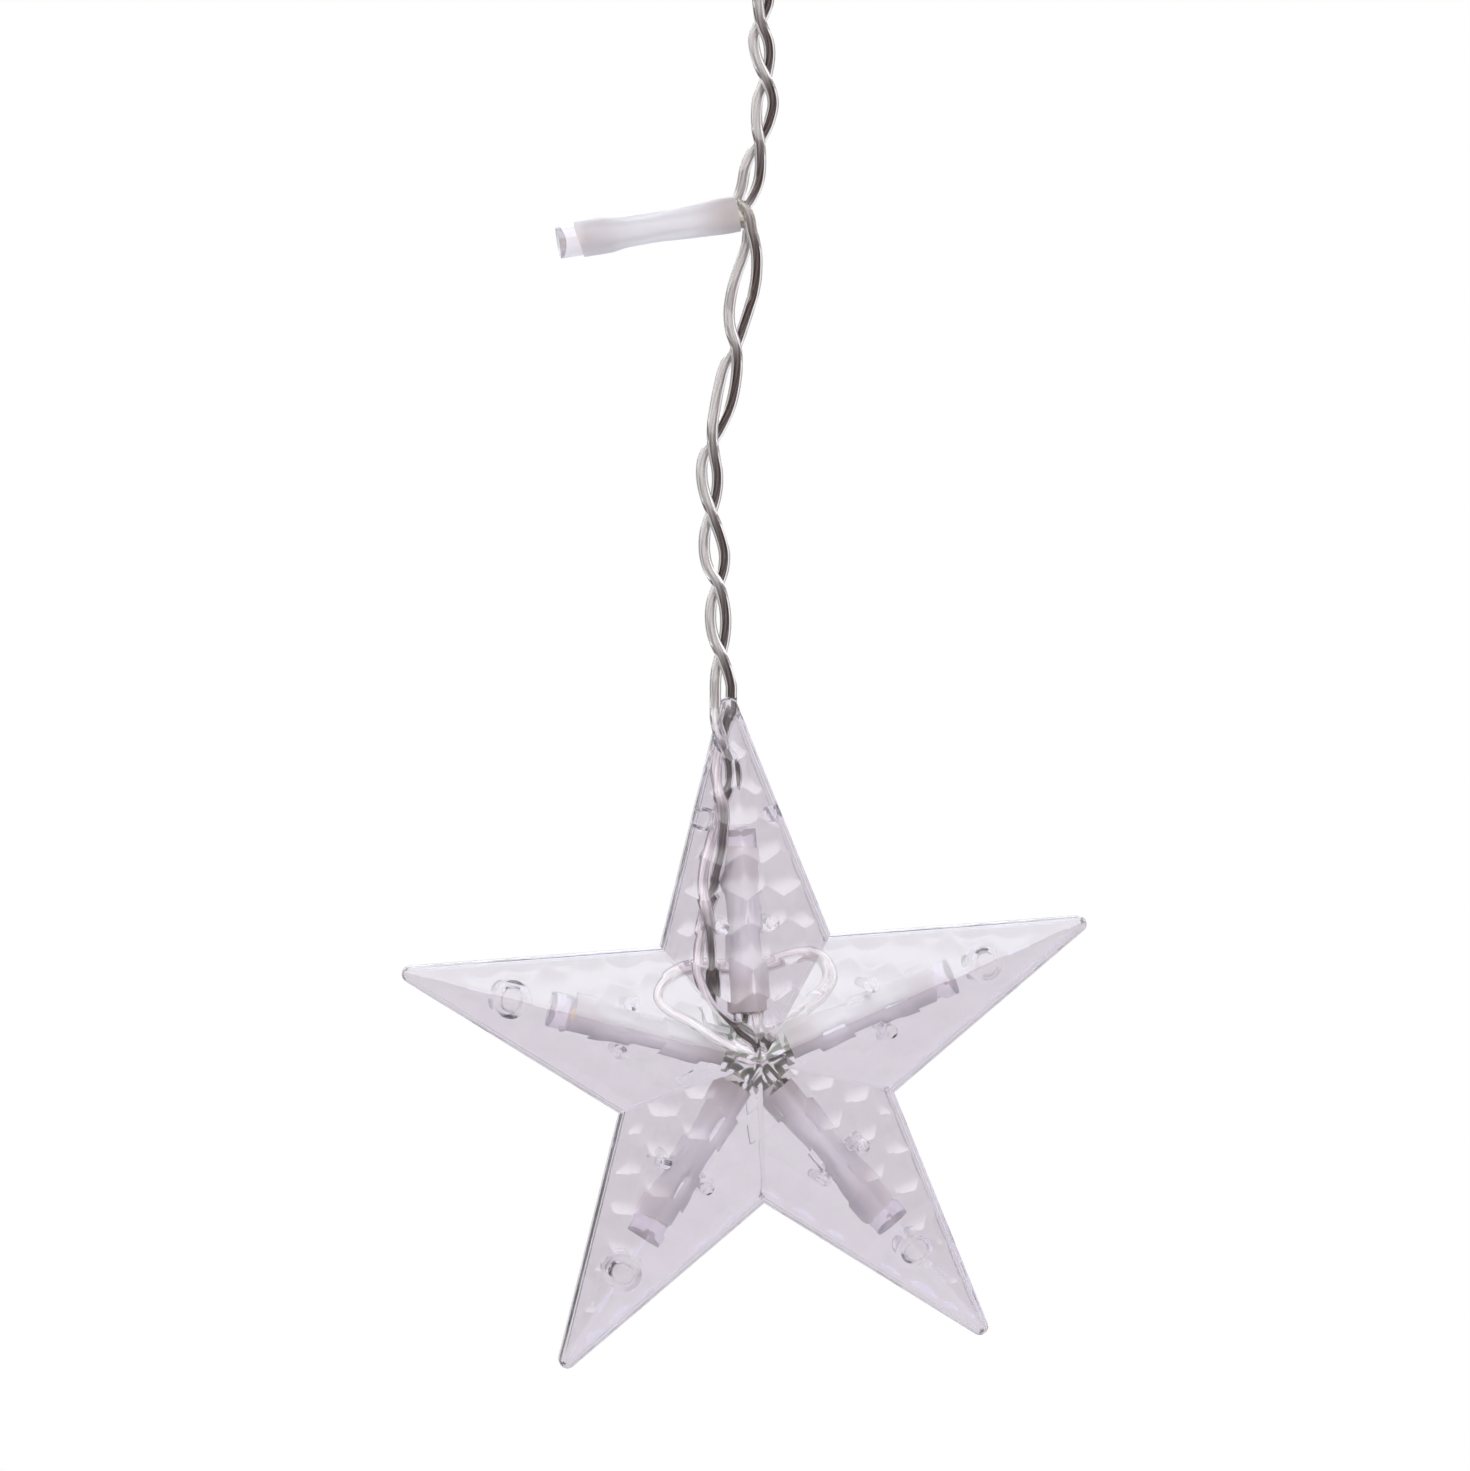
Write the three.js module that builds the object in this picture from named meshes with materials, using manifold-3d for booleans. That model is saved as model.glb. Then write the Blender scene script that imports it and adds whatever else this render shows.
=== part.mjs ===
// A star-shaped icicle light: one drop of a light curtain.
// Two clear wires hang twisted together from a small plug-in connector, pass a side lamp
// and enter a hollow star of two clear half shells, which holds five more lamps.
// Millimetres, +Z up, +X to the viewer's right, -Y towards the viewer.
// The origin is where the hook bears on the connector's hanging eye.

import * as THREE from 'three';
import { mergeVertices } from 'three/addons/utils/BufferGeometryUtils.js';
import Module from 'manifold-3d';

const wasm = await Module();
wasm.setup();

// Clearances
const gap = 0.3; // between pieces that meet face to face
const slipFit = 0.1; // radial play of an LED in its sleeve
const overrun = 1; // how far a cutter runs past the face that it opens
const weld = 1e-4; // vertices closer than this are one

// Sides of round pieces, by their size
const largeSides = 28;
const lampSides = 20;
const pegSides = 14;
const pinSides = 10;
const leadSides = 6;
const arcSteps = 4; // of a quarter circle

// Star
const starCentre = new THREE.Vector3(-1.7, 0, -178.6);
const starLean = THREE.MathUtils.degToRad(4.1); // the top arm leans to the viewer's left
const armCount = 5;
const starRadius = 54.2; // to the sharp tip, before it is rounded
const tipRounding = 1;
const shellWall = 1;
const rimHeight = 1.6; // plain upright rim of one half shell
const apexHeight = 13; // mid-plane to the middle of a face
const notchShare = (3 - Math.sqrt(5)) / 2; // notch to tip radius of a regular five-point star
const halfTip = THREE.MathUtils.degToRad(18); // half the angle of an arm's tip
const edgeShare = Math.sin(halfTip); // centre to edge line, of the tip radius

// LED lamps
const ledRadius = 2.4;
const ledLength = 8;
const ledDimple = 1.2; // depth of the hollow in the lens end
const lampLength = 26.4; // sleeve mouth to lens end
const lensShown = 3.4;
const sleeveWall = 0.2;
const mouthRadius = 2.6;
const waistRadius = 2.25;
const mouthSquashShare = 0.78; // the mouth is pinched flat, front to back
const leadRadius = 0.25;
const leadSpacing = 2.2;
const sealLength = 3.4;
const sealDome = 2.2;
const sealNeck = 1.4; // side lamp only: mouth to the centre of the domed seal
const flareShare = 0.3; // stations of the sleeve, of its length from mouth to LED
const waistStartShare = 0.65;
const waistEndShare = 0.85;
const wireOffset = 1; // each of the two wires of a lamp, from the lamp's axis
const dropLampJoint = new THREE.Vector3(-2.6, 0, -56.1);
const dropLampDroop = THREE.MathUtils.degToRad(9.4);

// Each mouth's distance from the middle of the star, as the lamps were laid in by hand
const topMouth = 6.9;
const leftMouth = 4;
const lowerLeftMouth = 4;
const lowerRightMouth = 5;
const rightMouth = 4.8;
const lamps = [
  { name: 'top_lamp', arm: 0, mouthPlace: topMouth },
  { name: 'left_lamp', arm: 1, mouthPlace: leftMouth },
  { name: 'lower_left_lamp', arm: 2, mouthPlace: lowerLeftMouth },
  { name: 'lower_right_lamp', arm: 3, mouthPlace: lowerRightMouth },
  { name: 'right_lamp', arm: 4, mouthPlace: rightMouth },
];

// Snap pegs and lamp cradles of the half shells
const pegRadius = 1.3;
const pegBoss = 2.4;
const pegDepth = 3.4;
const lensToBoss = 2.4; // from the outermost lens to the bosses beyond it
const pegPlace = lowerRightMouth + lampLength + lensToBoss + pegBoss;
const flankPegRadius = 0.5; // the two small pegs beside the wires in the top arm
const flankPegBoss = 1.2;
const flankPegDepth = 1.3;
const flankPegToTip = 19.2;
const flankPegMargin = 0.44; // from the boss to the edge of the arm
const flankPegOffset = flankPegToTip * Math.tan(halfTip) - flankPegBoss - flankPegMargin;
const postRadius = 0.65;
const postPlace = 19.4;
const postOffset = ledRadius + slipFit + sleeveWall + postRadius;

// Connector
const eyeRadius = 3.5;
const eyeWall = 2;
const eyeThickness = 3;
const connectorRadius = 5;
const connectorLength = 10.5;
const chamfer = 0.6;
const shroudRadius = 4.6;
const shroudBore = 3.2;
const shroudReach = 12.5; // from the connector's axis
const shroudDepth = 7;
const pinRadius = 0.6;
const pinSpacing = 3;
const pinLength = 8;
const pinRoot = 2;
const ringRadius = 0.45;
const ringPlace = 9;
const grooveDepth = 0.7;
const bootRadius = 2.8;
const bootRoot = 2.4;
const bootLength = 3.7; // connector face to the centre of the ball end
const bootBall = 2.6;
const bootRib = 0.5;
const bootRibs = 3;
const ribFlankShare = 0.3; // height of a rib's sloped flank, of the groove's width

// Wires
const wireDiameter = 1.7;
const wireSides = 8;
const wireStepShare = 1.45; // length of one straight step of a wire, of its diameter
const linkStepShare = 0.6; // the same for the tightly bent links
const linkDiameter = 1.3;
const linkReach = 1.2; // how far a short link runs on from its lamp before it turns
const linkRise = 0.4; // its bow forward from the lamps' plane

// Routes, point by point. At each crossing the wire that comes from the upper left is in front.
const routes = {
  supply_wire_upper: [
    [-1.1, -0.6, -25.1], [-1, -0.8, -26.5], [-0.7, -1, -28.6], [0.4, -0.5, -31.2], [0.7, 0, -32.9],
    [0.6, 0.5, -34.6], [0.1, 1.15, -37], [-0.9, 0.6, -39.4], [-1.2, 0, -41.6], [-1.2, -0.5, -43.8],
    [-0.9, -1.15, -46.1], [-0.7, -0.7, -48.3], [-0.7, -0.2, -50], [-1, -0.4, -51.9], [-1.7, -0.6, -53.6],
  ],
  return_wire_upper: [
    [0.6, 0.6, -25.1], [0.4, 0.8, -26.2], [-0.7, 1, -28.6], [-1.4, 0.5, -30.1], [-1.6, 0, -31.6],
    [-1.1, -0.7, -34.3], [0.1, -1.15, -37], [0.9, -0.6, -38.7], [1.2, 0, -40.4], [0.8, 0.3, -42.5],
    [0.3, 0.6, -43.9], [-0.9, 1.15, -46.1], [-2.2, 0.7, -48.1], [-2.9, 0.2, -50], [-3.1, 0.4, -51.9],
    [-3.2, 0.6, -53.5],
  ],
  supply_wire_middle: [
    [-2, -0.95, -58.9], [-1.7, -1, -60], [-1.3, -0.7, -61.9], [-1.2, -0.3, -63.9], [-1.3, 0, -65.9],
    [-1.6, 0, -67.6],
  ],
  return_wire_middle: [
    [-2.2, 1, -58.9], [-2.5, 1, -60.6], [-3.1, 0.75, -62.5], [-3.8, 0.3, -64.3], [-4.4, 0, -66.1],
    [-4.8, 0, -67.6],
  ],
  supply_wire_lower: [
    [-1.7, 0, -68.1], [-2.2, 0, -69.7], [-3.1, 0.6, -72.6], [-4.3, 1.15, -75.9], [-5.8, 0.6, -78.4],
    [-6.7, 0, -81.6], [-7.3, -0.4, -84.6], [-7.7, -0.9, -87.2], [-7.7, -1.15, -89.6], [-7.4, -0.7, -91.4],
    [-6.9, 0, -94.1], [-7, 0.5, -96.7], [-7.8, 1.15, -99.9], [-8.6, 0.5, -102.3], [-8.8, 0, -105.1],
    [-8.3, -0.6, -107.7], [-6.8, -1.15, -110.3], [-6, -0.5, -112.8], [-5.7, 0, -115.5],
    [-5.9, 0.5, -118.1], [-6.4, 1.15, -120.4], [-7, 0.4, -122.6], [-7.2, 0, -124.6], [-7.2, 0, -125.7],
    [-7.2, 0, -126.5],
  ],
  return_wire_lower: [
    [-4.9, 0, -68.1], [-5.2, 0, -70.3], [-5.1, -0.6, -72.9], [-4.3, -1.15, -75.9], [-4.1, -0.6, -78.4],
    [-4.4, 0, -81.6], [-5.1, 0.4, -84.5], [-6.4, 0.9, -87.4], [-7.7, 1.15, -89.6], [-8.8, 0.6, -91.4],
    [-9.2, 0, -93.8], [-8.9, -0.5, -96.5], [-7.8, -1.15, -99.9], [-6.7, -0.5, -102.6],
    [-5.9, 0, -105.5], [-6, 0.6, -107.8], [-6.8, 1.15, -110.3], [-7.7, 0.5, -112.8], [-7.9, 0, -115.2],
    [-7.5, -0.5, -117.8], [-6.4, -1.15, -120.4], [-5.4, -0.4, -122.8], [-4.9, 0, -124.8],
    [-4.9, 0, -125.7], [-4.9, 0, -126.5],
  ],
  supply_wire_star: [
    [-7.2, 0, -126.8], [-7.2, 0, -128], [-7.2, -0.5, -129.7], [-6.7, -0.9, -131.7], [-5.6, -0.9, -134.1],
    [-4.8, -0.3, -136.4], [-4.7, 0.4, -138.7], [-5.4, 0.9, -140.4], [-6.2, 1.15, -142], [-7, 1, -144.5],
    [-8, 0.4, -148], [-8.7, 0.2, -151.4], [-8.9, -0.2, -154], [-8.4, -1, -157.4], [-8, -1, -159.7],
    [-7.5, -0.5, -163.2], [-7.4, 0.2, -166.2], [-7.1, 0.2, -170.3], [-6.7, 0, -172.3], [-5.4, 0, -174],
    [-3.9, 0, -174.3], [-3.2, 0, -173.3], [-3.1, 0, -172.2],
  ],
  return_wire_star: [
    [-4.9, 0, -126.8], [-4.9, 0, -128], [-5.3, 0.6, -129.7], [-6, 1, -132.2], [-6.7, 0.6, -134.9],
    [-7, 0, -137.5], [-6.7, -0.6, -139.9], [-6.1, -1.2, -142.2], [-6, -2.4, -144.5],
    [-6.2, -2.75, -146.8], [-6.4, -2.8, -148.8], [-7, -1.6, -152.4], [-7.1, 0, -154],
    [-7.6, 1, -155.4], [-8.3, 1.15, -157.4], [-8.9, 1, -159.9], [-9.6, 0.5, -162.8],
    [-9.6, -0.5, -165.7], [-8.9, -1.7, -168.6], [-7.4, -2.4, -171.4], [-5.1, -3, -173.5],
    [-2.9, -3.5, -174.9], [-0.9, -3.3, -176.2], [-0.2, -2, -176.9], [0.7, -0.5, -176.6], [1.9, 0, -176.1],
  ],
  slack_wire: [
    [-1.15, 0, -172], [-1.1, 0.1, -173], [-0.3, 0.8, -174.1], [1.3, 1.8, -174.1], [3.3, 2, -173],
    [6.2, 1.4, -171.6], [8.8, 0.9, -169.3], [9.6, 0.7, -166.7], [8.4, 0.7, -164.4], [5.9, 1, -163.5],
    [3.3, 2, -164.1], [0.4, 3.3, -165.1], [-2.9, 3.8, -165.6], [-6.2, 3.2, -165.6], [-9.4, 2.6, -165.4],
    [-12.3, 1.4, -166.1], [-14.6, 0.8, -167.7], [-15.5, 0.2, -169.8], [-14.6, -0.6, -171.6],
    [-13.2, -1.6, -172.4], [-11.2, -2.2, -173.1], [-9, -3.2, -174.2], [-6.5, -4, -175.6],
    [-4.3, -3.6, -176.6], [-3.1, -2.2, -177.2], [-3.5, -0.4, -177.2], [-4.8, 0, -176.8],
  ],
};
const entryPoints = 11; // points of each wire's route that lie in or near the star's tip

// Turns a geometry into a solid, whichever way its faces were wound.
function toSolid(geometry) {
  const plain = geometry.clone();
  plain.deleteAttribute('normal');
  plain.deleteAttribute('uv');
  const merged = mergeVertices(plain, weld);
  const index = merged.index.array;
  const faces = [];
  for (let i = 0; i < index.length; i += 3) {
    const [a, b, c] = [index[i], index[i + 1], index[i + 2]];
    if (a !== b && b !== c && c !== a) faces.push(a, b, c);
  }
  if (enclosedVolume(merged.attributes.position, faces) < 0) faces.reverse();
  return new wasm.Manifold(new wasm.Mesh({
    numProp: 3,
    vertProperties: merged.attributes.position.array,
    triVerts: new Uint32Array(faces),
  }));
}

function enclosedVolume(position, faces) {
  const [a, b, c] = [new THREE.Vector3(), new THREE.Vector3(), new THREE.Vector3()];
  let sum = 0;
  for (let i = 0; i < faces.length; i += 3) {
    a.fromBufferAttribute(position, faces[i]);
    b.fromBufferAttribute(position, faces[i + 1]);
    c.fromBufferAttribute(position, faces[i + 2]);
    sum += a.dot(b.cross(c));
  }
  return sum;
}

function toGeometry(solid) {
  const mesh = solid.getMesh();
  const geometry = new THREE.BufferGeometry();
  geometry.setAttribute('position', new THREE.BufferAttribute(mesh.vertProperties, mesh.numProp));
  geometry.setIndex(new THREE.BufferAttribute(mesh.triVerts, 1));
  geometry.computeVertexNormals();
  return geometry;
}

function addPiece(group, name, solid, material) {
  const mesh = new THREE.Mesh(toGeometry(solid), material);
  mesh.name = name;
  group.add(mesh);
  return mesh;
}

// A turned shape about +Z from [radius, height] pairs. A profile off the axis is closed on itself.
function turned(profile, sides) {
  const points = profile.map(([radius, height]) => new THREE.Vector2(radius, height));
  if (points[0].x > 0) points.push(points[0].clone());
  return new THREE.LatheGeometry(points, sides).rotateX(Math.PI / 2);
}

// A round bar along Y, between two depths, standing at x and z.
function barAlongY(radius, x, z, nearDepth, farDepth, sides) {
  const bar = new THREE.CylinderGeometry(radius, radius, Math.abs(farDepth - nearDepth), sides);
  return toSolid(bar.translate(x, (nearDepth + farDepth) / 2, z));
}

const routeCurve = (points) => new THREE.CatmullRomCurve3(points, false, 'centripetal');

function tube(curve, diameter, stepShare) {
  const steps = Math.round(curve.getLength() / (diameter * stepShare));
  const section = new THREE.Shape();
  for (let i = 0; i < wireSides; i++) {
    const turn = (2 * Math.PI * i) / wireSides;
    const [x, y] = [(diameter / 2) * Math.cos(turn), (diameter / 2) * Math.sin(turn)];
    if (i === 0) section.moveTo(x, y);
    else section.lineTo(x, y);
  }
  return new THREE.ExtrudeGeometry(section, { steps, extrudePath: curve, bevelEnabled: false });
}

// Directions in the star's own plane: out along an arm, and across it towards the next arm.
const armTurn = (arm) => (2 * Math.PI * arm) / armCount;
const along = (turn, reach) => new THREE.Vector3(-Math.sin(turn), 0, Math.cos(turn)).multiplyScalar(reach);
const across = (turn, reach) => along(turn + Math.PI / 2, reach);

// Outline of the star in its X-Z plane, tips rounded by an arc where rounding is over zero.
function starOutline(tipRadius, rounding) {
  const flank = Math.PI / 2 - halfTip; // from the tip's direction to each edge's normal
  const arcCentre = tipRadius - rounding / edgeShare;
  const points = [];
  for (let arm = 0; arm < armCount; arm++) {
    for (let i = 0; i <= arcSteps && rounding > 0; i++) {
      const turn = armTurn(arm) + flank * ((2 * i) / arcSteps - 1);
      points.push(along(armTurn(arm), arcCentre).add(along(turn, rounding)));
    }
    if (rounding === 0) points.push(along(armTurn(arm), tipRadius));
    points.push(along(armTurn(arm + 0.5), tipRadius * notchShare));
  }
  return points;
}

// A closed pyramid on a star outline: flat base, upright rim, faces up to one apex.
function starPyramid(outline, baseDepth, rimDepth, apexDepth) {
  const count = outline.length;
  const positions = [0, baseDepth, 0, 0, apexDepth, 0];
  for (const depth of [baseDepth, rimDepth]) {
    for (const point of outline) positions.push(point.x, depth, point.z);
  }
  const faces = [];
  for (let i = 0; i < count; i++) {
    const [low, lowNext] = [2 + i, 2 + ((i + 1) % count)];
    const [high, highNext] = [low + count, lowNext + count];
    faces.push(0, low, lowNext, low, high, highNext, low, highNext, lowNext, high, 1, highNext);
  }
  const geometry = new THREE.BufferGeometry();
  geometry.setAttribute('position', new THREE.Float32BufferAttribute(positions, 3));
  geometry.setIndex(faces);
  return toSolid(geometry);
}

// Inner faces lie one wall thickness inside the outer ones, measured square to them.
const edgePlace = starRadius * edgeShare;
const faceSlope = (apexHeight - rimHeight) / edgePlace;
const wallRise = shellWall * Math.hypot(1, faceSlope);
const innerShare = (edgePlace - shellWall) / edgePlace;
const innerApex = apexHeight - wallRise;
const innerRim = innerApex - faceSlope * (edgePlace - shellWall);

function pegPlaces() {
  const places = [];
  for (let arm = 0; arm < armCount; arm++) {
    const middle = along(armTurn(arm), arm === 0 ? starRadius - flankPegToTip : pegPlace);
    if (arm > 0) {
      places.push({ at: middle, pin: pegRadius, boss: pegBoss, depth: pegDepth });
      continue;
    }
    for (const side of [-1, 1]) {
      const at = middle.clone().add(across(armTurn(arm), side * flankPegOffset));
      places.push({ at, pin: flankPegRadius, boss: flankPegBoss, depth: flankPegDepth });
    }
  }
  return places;
}

function postPlaces() {
  const places = [];
  for (let arm = 0; arm < armCount; arm++) {
    for (const side of [-1, 1]) {
      places.push(along(armTurn(arm), postPlace).add(across(armTurn(arm), side * postOffset)));
    }
  }
  return places;
}

// One half shell. side is -1 for the front half and 1 for the rear half.
// The front half has the sockets and the rear half has the pegs that snap into them.
function halfShell(side, entryCut) {
  const face = side * (gap / 2);
  const outline = starOutline(starRadius, tipRounding);
  const outer = starPyramid(outline, face, side * rimHeight, side * apexHeight);
  const innerOutline = starOutline(starRadius * innerShare, 0);
  const inner = starPyramid(innerOutline, -side * overrun, side * innerRim, side * innerApex);
  let shell = outer.subtract(inner);
  for (const { x, z } of postPlaces()) {
    shell = shell.add(barAlongY(postRadius, x, z, face, side * apexHeight, pinSides).intersect(outer));
  }
  for (const { at, pin, boss, depth } of pegPlaces()) {
    if (side < 0) {
      shell = shell.add(barAlongY(boss, at.x, at.z, face, side * apexHeight, pegSides).intersect(outer));
      shell = shell.subtract(barAlongY(pin + gap, at.x, at.z, overrun, side * depth, pinSides));
    } else {
      const base = barAlongY(boss, at.x, at.z, face, side * apexHeight, pegSides).intersect(outer);
      shell = shell.add(base).add(barAlongY(pin, at.x, at.z, face + side * gap, -depth + gap, pinSides));
    }
  }
  return shell.subtract(entryCut);
}

function buildStarShells(star) {
  star.updateMatrix();
  const toStar = star.matrix.clone().invert();
  const cutDiameter = wireDiameter + 2 * gap;
  const cuts = ['supply_wire_star', 'return_wire_star'].map((name) => {
    const points = routes[name].slice(0, entryPoints).map((point) => new THREE.Vector3(...point));
    points.unshift(points[0].clone().setZ(points[0].z + overrun));
    return toSolid(tube(routeCurve(points), cutDiameter, wireStepShare / 2).applyMatrix4(toStar));
  });
  const entryCut = cuts[0].add(cuts[1]);
  const clear = { color: 0xd9d3dc, roughness: 0.08, metalness: 0, transparent: true, opacity: 0.4 };
  addPiece(star, 'front_shell', halfShell(-1, entryCut), new THREE.MeshStandardMaterial(clear));
  addPiece(star, 'rear_shell', halfShell(1, entryCut), new THREE.MeshStandardMaterial(clear));
}

// Pinches a lamp piece flat towards the mouth, front to back.
function pinched(geometry) {
  const position = geometry.attributes.position;
  const reach = lampLength - ledLength;
  for (let i = 0; i < position.count; i++) {
    const near = THREE.MathUtils.clamp(1 - position.getZ(i) / reach, 0, 1);
    position.setY(i, position.getY(i) * (1 - near * (1 - mouthSquashShare)));
  }
  return geometry;
}

// Shrink sleeve from the wires' mouth at z = 0 over the root of the LED, necked between them.
function sleeveSolid() {
  const ledStart = lampLength - ledLength;
  const grip = ledRadius + slipFit;
  const outer = [
    [mouthRadius, 0],
    [mouthRadius - sleeveWall / 2, ledStart * flareShare],
    [waistRadius, ledStart * waistStartShare],
    [waistRadius, ledStart * waistEndShare],
    [grip + sleeveWall, ledStart],
    [grip + sleeveWall, lampLength - lensShown],
  ];
  const bore = outer.map(([radius, height]) => [radius - sleeveWall, height]).reverse();
  return toSolid(pinched(turned([...outer, ...bore], lampSides)));
}

// A 5 mm LED with a hollow lens end.
function ledSolid() {
  const root = lampLength - ledLength + gap;
  return toSolid(turned([
    [0, root], [ledRadius, root], [ledRadius, lampLength - gap], [ledRadius - gap, lampLength],
    [0, lampLength - ledDimple],
  ], lampSides));
}

// Sealing plug in the sleeve's mouth: flat, or with a neck and a domed end for the side lamp.
function sealSolid(neck) {
  const bore = mouthRadius - sleeveWall - gap;
  const profile = [[0, sealLength], [bore - slipFit, sealLength]];
  if (neck === 0) {
    profile.push([bore, 0], [0, 0]);
    return toSolid(pinched(turned(profile, lampSides)));
  }
  profile.push([bore, 0]);
  for (let i = 0; i <= arcSteps; i++) {
    const turn = (Math.PI / 2) * (i / arcSteps);
    profile.push([i === arcSteps ? 0 : sealDome * Math.cos(turn), -neck - sealDome * Math.sin(turn)]);
  }
  return toSolid(pinched(turned(profile, lampSides)));
}

function leadSolid(side) {
  const start = sealLength + gap;
  const length = lampLength - ledLength - start;
  const lead = new THREE.CylinderGeometry(leadRadius, leadRadius, length, leadSides).rotateX(Math.PI / 2);
  return toSolid(lead.translate((side * leadSpacing) / 2, 0, start + length / 2));
}

// A lamp along its own +Z, its mouth at the group's origin.
function buildLamp(parent, name, neck) {
  const lamp = new THREE.Group();
  const metal = { color: 0xb9b2a8, roughness: 0.3, metalness: 1 };
  const colours = {
    sleeve: { color: 0xe8e6ee, roughness: 0.45, metalness: 0, transparent: true, opacity: 0.75 },
    lens: { color: 0xe6dcdc, roughness: 0.05, metalness: 0, transparent: true, opacity: 0.5 },
    seal: { color: 0xe2dcdc, roughness: 0.4, metalness: 0 },
  };
  addPiece(lamp, `${name}_sleeve`, sleeveSolid(), new THREE.MeshStandardMaterial(colours.sleeve));
  addPiece(lamp, `${name}_lens`, ledSolid(), new THREE.MeshStandardMaterial(colours.lens));
  addPiece(lamp, `${name}_seal`, sealSolid(neck), new THREE.MeshStandardMaterial(colours.seal));
  addPiece(lamp, `${name}_anode_lead`, leadSolid(1), new THREE.MeshStandardMaterial(metal));
  addPiece(lamp, `${name}_cathode_lead`, leadSolid(-1), new THREE.MeshStandardMaterial(metal));
  parent.add(lamp);
  return lamp;
}

// The side lamp's mouth stands off the joint by its neck, and the lamp droops a little.
function buildDropLamp(parent) {
  const lamp = buildLamp(parent, 'drop_lamp', sealNeck);
  const turn = Math.PI / 2 + dropLampDroop;
  lamp.position.copy(dropLampJoint).add(along(turn, sealNeck));
  lamp.rotation.y = -turn;
}

function buildStarLamps(star) {
  for (const { name, arm, mouthPlace } of lamps) {
    const lamp = buildLamp(star, name, 0);
    lamp.position.copy(along(armTurn(arm), mouthPlace));
    lamp.rotation.y = -armTurn(arm);
  }
}

// Short links between neighbouring lamps' mouths, bowed forward over the middle of the star.
function buildLinks(star) {
  for (let i = 1; i < lamps.length - 1; i++) {
    const [from, to] = [lamps[i], lamps[i + 1]];
    const [fromTurn, toTurn] = [armTurn(from.arm), armTurn(to.arm)];
    const leave = (place) => along(fromTurn, from.mouthPlace - place).add(across(fromTurn, wireOffset));
    const arrive = (place) => along(toTurn, to.mouthPlace - place).add(across(toTurn, -wireOffset));
    const curve = new THREE.CubicBezierCurve3(
      leave(gap),
      leave(gap + linkReach).setY(-linkRise),
      arrive(gap + linkReach).setY(-linkRise),
      arrive(gap),
    );
    const name = `${from.name}_to_${to.name}_link`;
    addPiece(star, name, toSolid(tube(curve, linkDiameter, linkStepShare)), wireMaterial());
  }
}

function wireMaterial() {
  return new THREE.MeshStandardMaterial({
    color: 0xb8b0ad, roughness: 0.2, metalness: 0.2, transparent: true, opacity: 0.8,
  });
}

function buildWires(parent) {
  for (const [name, route] of Object.entries(routes)) {
    const curve = routeCurve(route.map((point) => new THREE.Vector3(...point)));
    addPiece(parent, name, toSolid(tube(curve, wireDiameter, wireStepShare)), wireMaterial());
  }
}

// Connector: the places along its upright axis, downwards from the origin.
const eyeCentre = -eyeRadius;
const connectorTop = eyeCentre - eyeRadius - eyeWall / 2;
const connectorFoot = connectorTop - connectorLength;
const shroudHeight = (connectorTop + connectorFoot) / 2;

function eyeSolid() {
  const half = eyeThickness / 2;
  const outside = eyeRadius + eyeWall;
  const ring = turned([
    [eyeRadius, -half], [outside - chamfer, -half], [outside, chamfer - half],
    [outside, half - chamfer], [outside - chamfer, half], [eyeRadius, half],
  ], largeSides);
  return toSolid(ring.rotateX(Math.PI / 2).translate(0, 0, eyeCentre));
}

// A turned shape about +X, from [radius, distance] pairs, at the shroud's height.
function turnedAboutX(profile) {
  return toSolid(turned(profile, largeSides).rotateY(Math.PI / 2).translate(0, 0, shroudHeight));
}

function connectorBody() {
  const foot = connectorFoot;
  const top = connectorTop;
  const body = toSolid(turned([
    [0, foot], [connectorRadius - chamfer, foot], [connectorRadius, foot + chamfer],
    [connectorRadius, top - chamfer], [connectorRadius - chamfer, top], [0, top],
  ], largeSides));
  const shroud = turnedAboutX([[0, 0], [shroudRadius, 0], [shroudRadius, shroudReach], [0, shroudReach]]);
  const floor = shroudReach - shroudDepth;
  const end = shroudReach + overrun;
  const bore = turnedAboutX([[0, floor], [shroudBore, floor], [shroudBore, end], [0, end]]);
  const grooveFloor = shroudRadius - grooveDepth;
  const grooveHalf = ringRadius + gap;
  const groove = turnedAboutX([
    [grooveFloor, ringPlace - grooveHalf], [shroudRadius + overrun, ringPlace - grooveHalf],
    [shroudRadius + overrun, ringPlace + grooveHalf], [grooveFloor, ringPlace + grooveHalf],
  ]);
  const seat = toSolid(turned([
    [0, foot - overrun], [bootRadius + gap, foot - overrun],
    [bootRadius + gap, foot + bootRoot + gap], [0, foot + bootRoot + gap],
  ], lampSides));
  let solid = body.add(eyeSolid()).add(shroud).subtract(bore).subtract(groove).subtract(seat);
  for (const side of [-1, 1]) {
    solid = solid.subtract(pinSolid(side, pinRadius + gap / 2, floor - pinRoot - gap, end));
  }
  return solid;
}

function pinSolid(side, radius, start, end) {
  const pin = turned([[0, start], [radius, start], [radius, end], [0, end]], pinSides);
  return toSolid(pin.rotateY(Math.PI / 2).translate(0, 0, shroudHeight + (side * pinSpacing) / 2));
}

function ringSolid() {
  const middle = shroudRadius - grooveDepth + gap + ringRadius;
  const profile = [];
  for (let i = 0; i < wireSides; i++) {
    const turn = (2 * Math.PI * i) / wireSides;
    profile.push([middle + ringRadius * Math.cos(turn), ringPlace + ringRadius * Math.sin(turn)]);
  }
  return turnedAboutX(profile);
}

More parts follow.
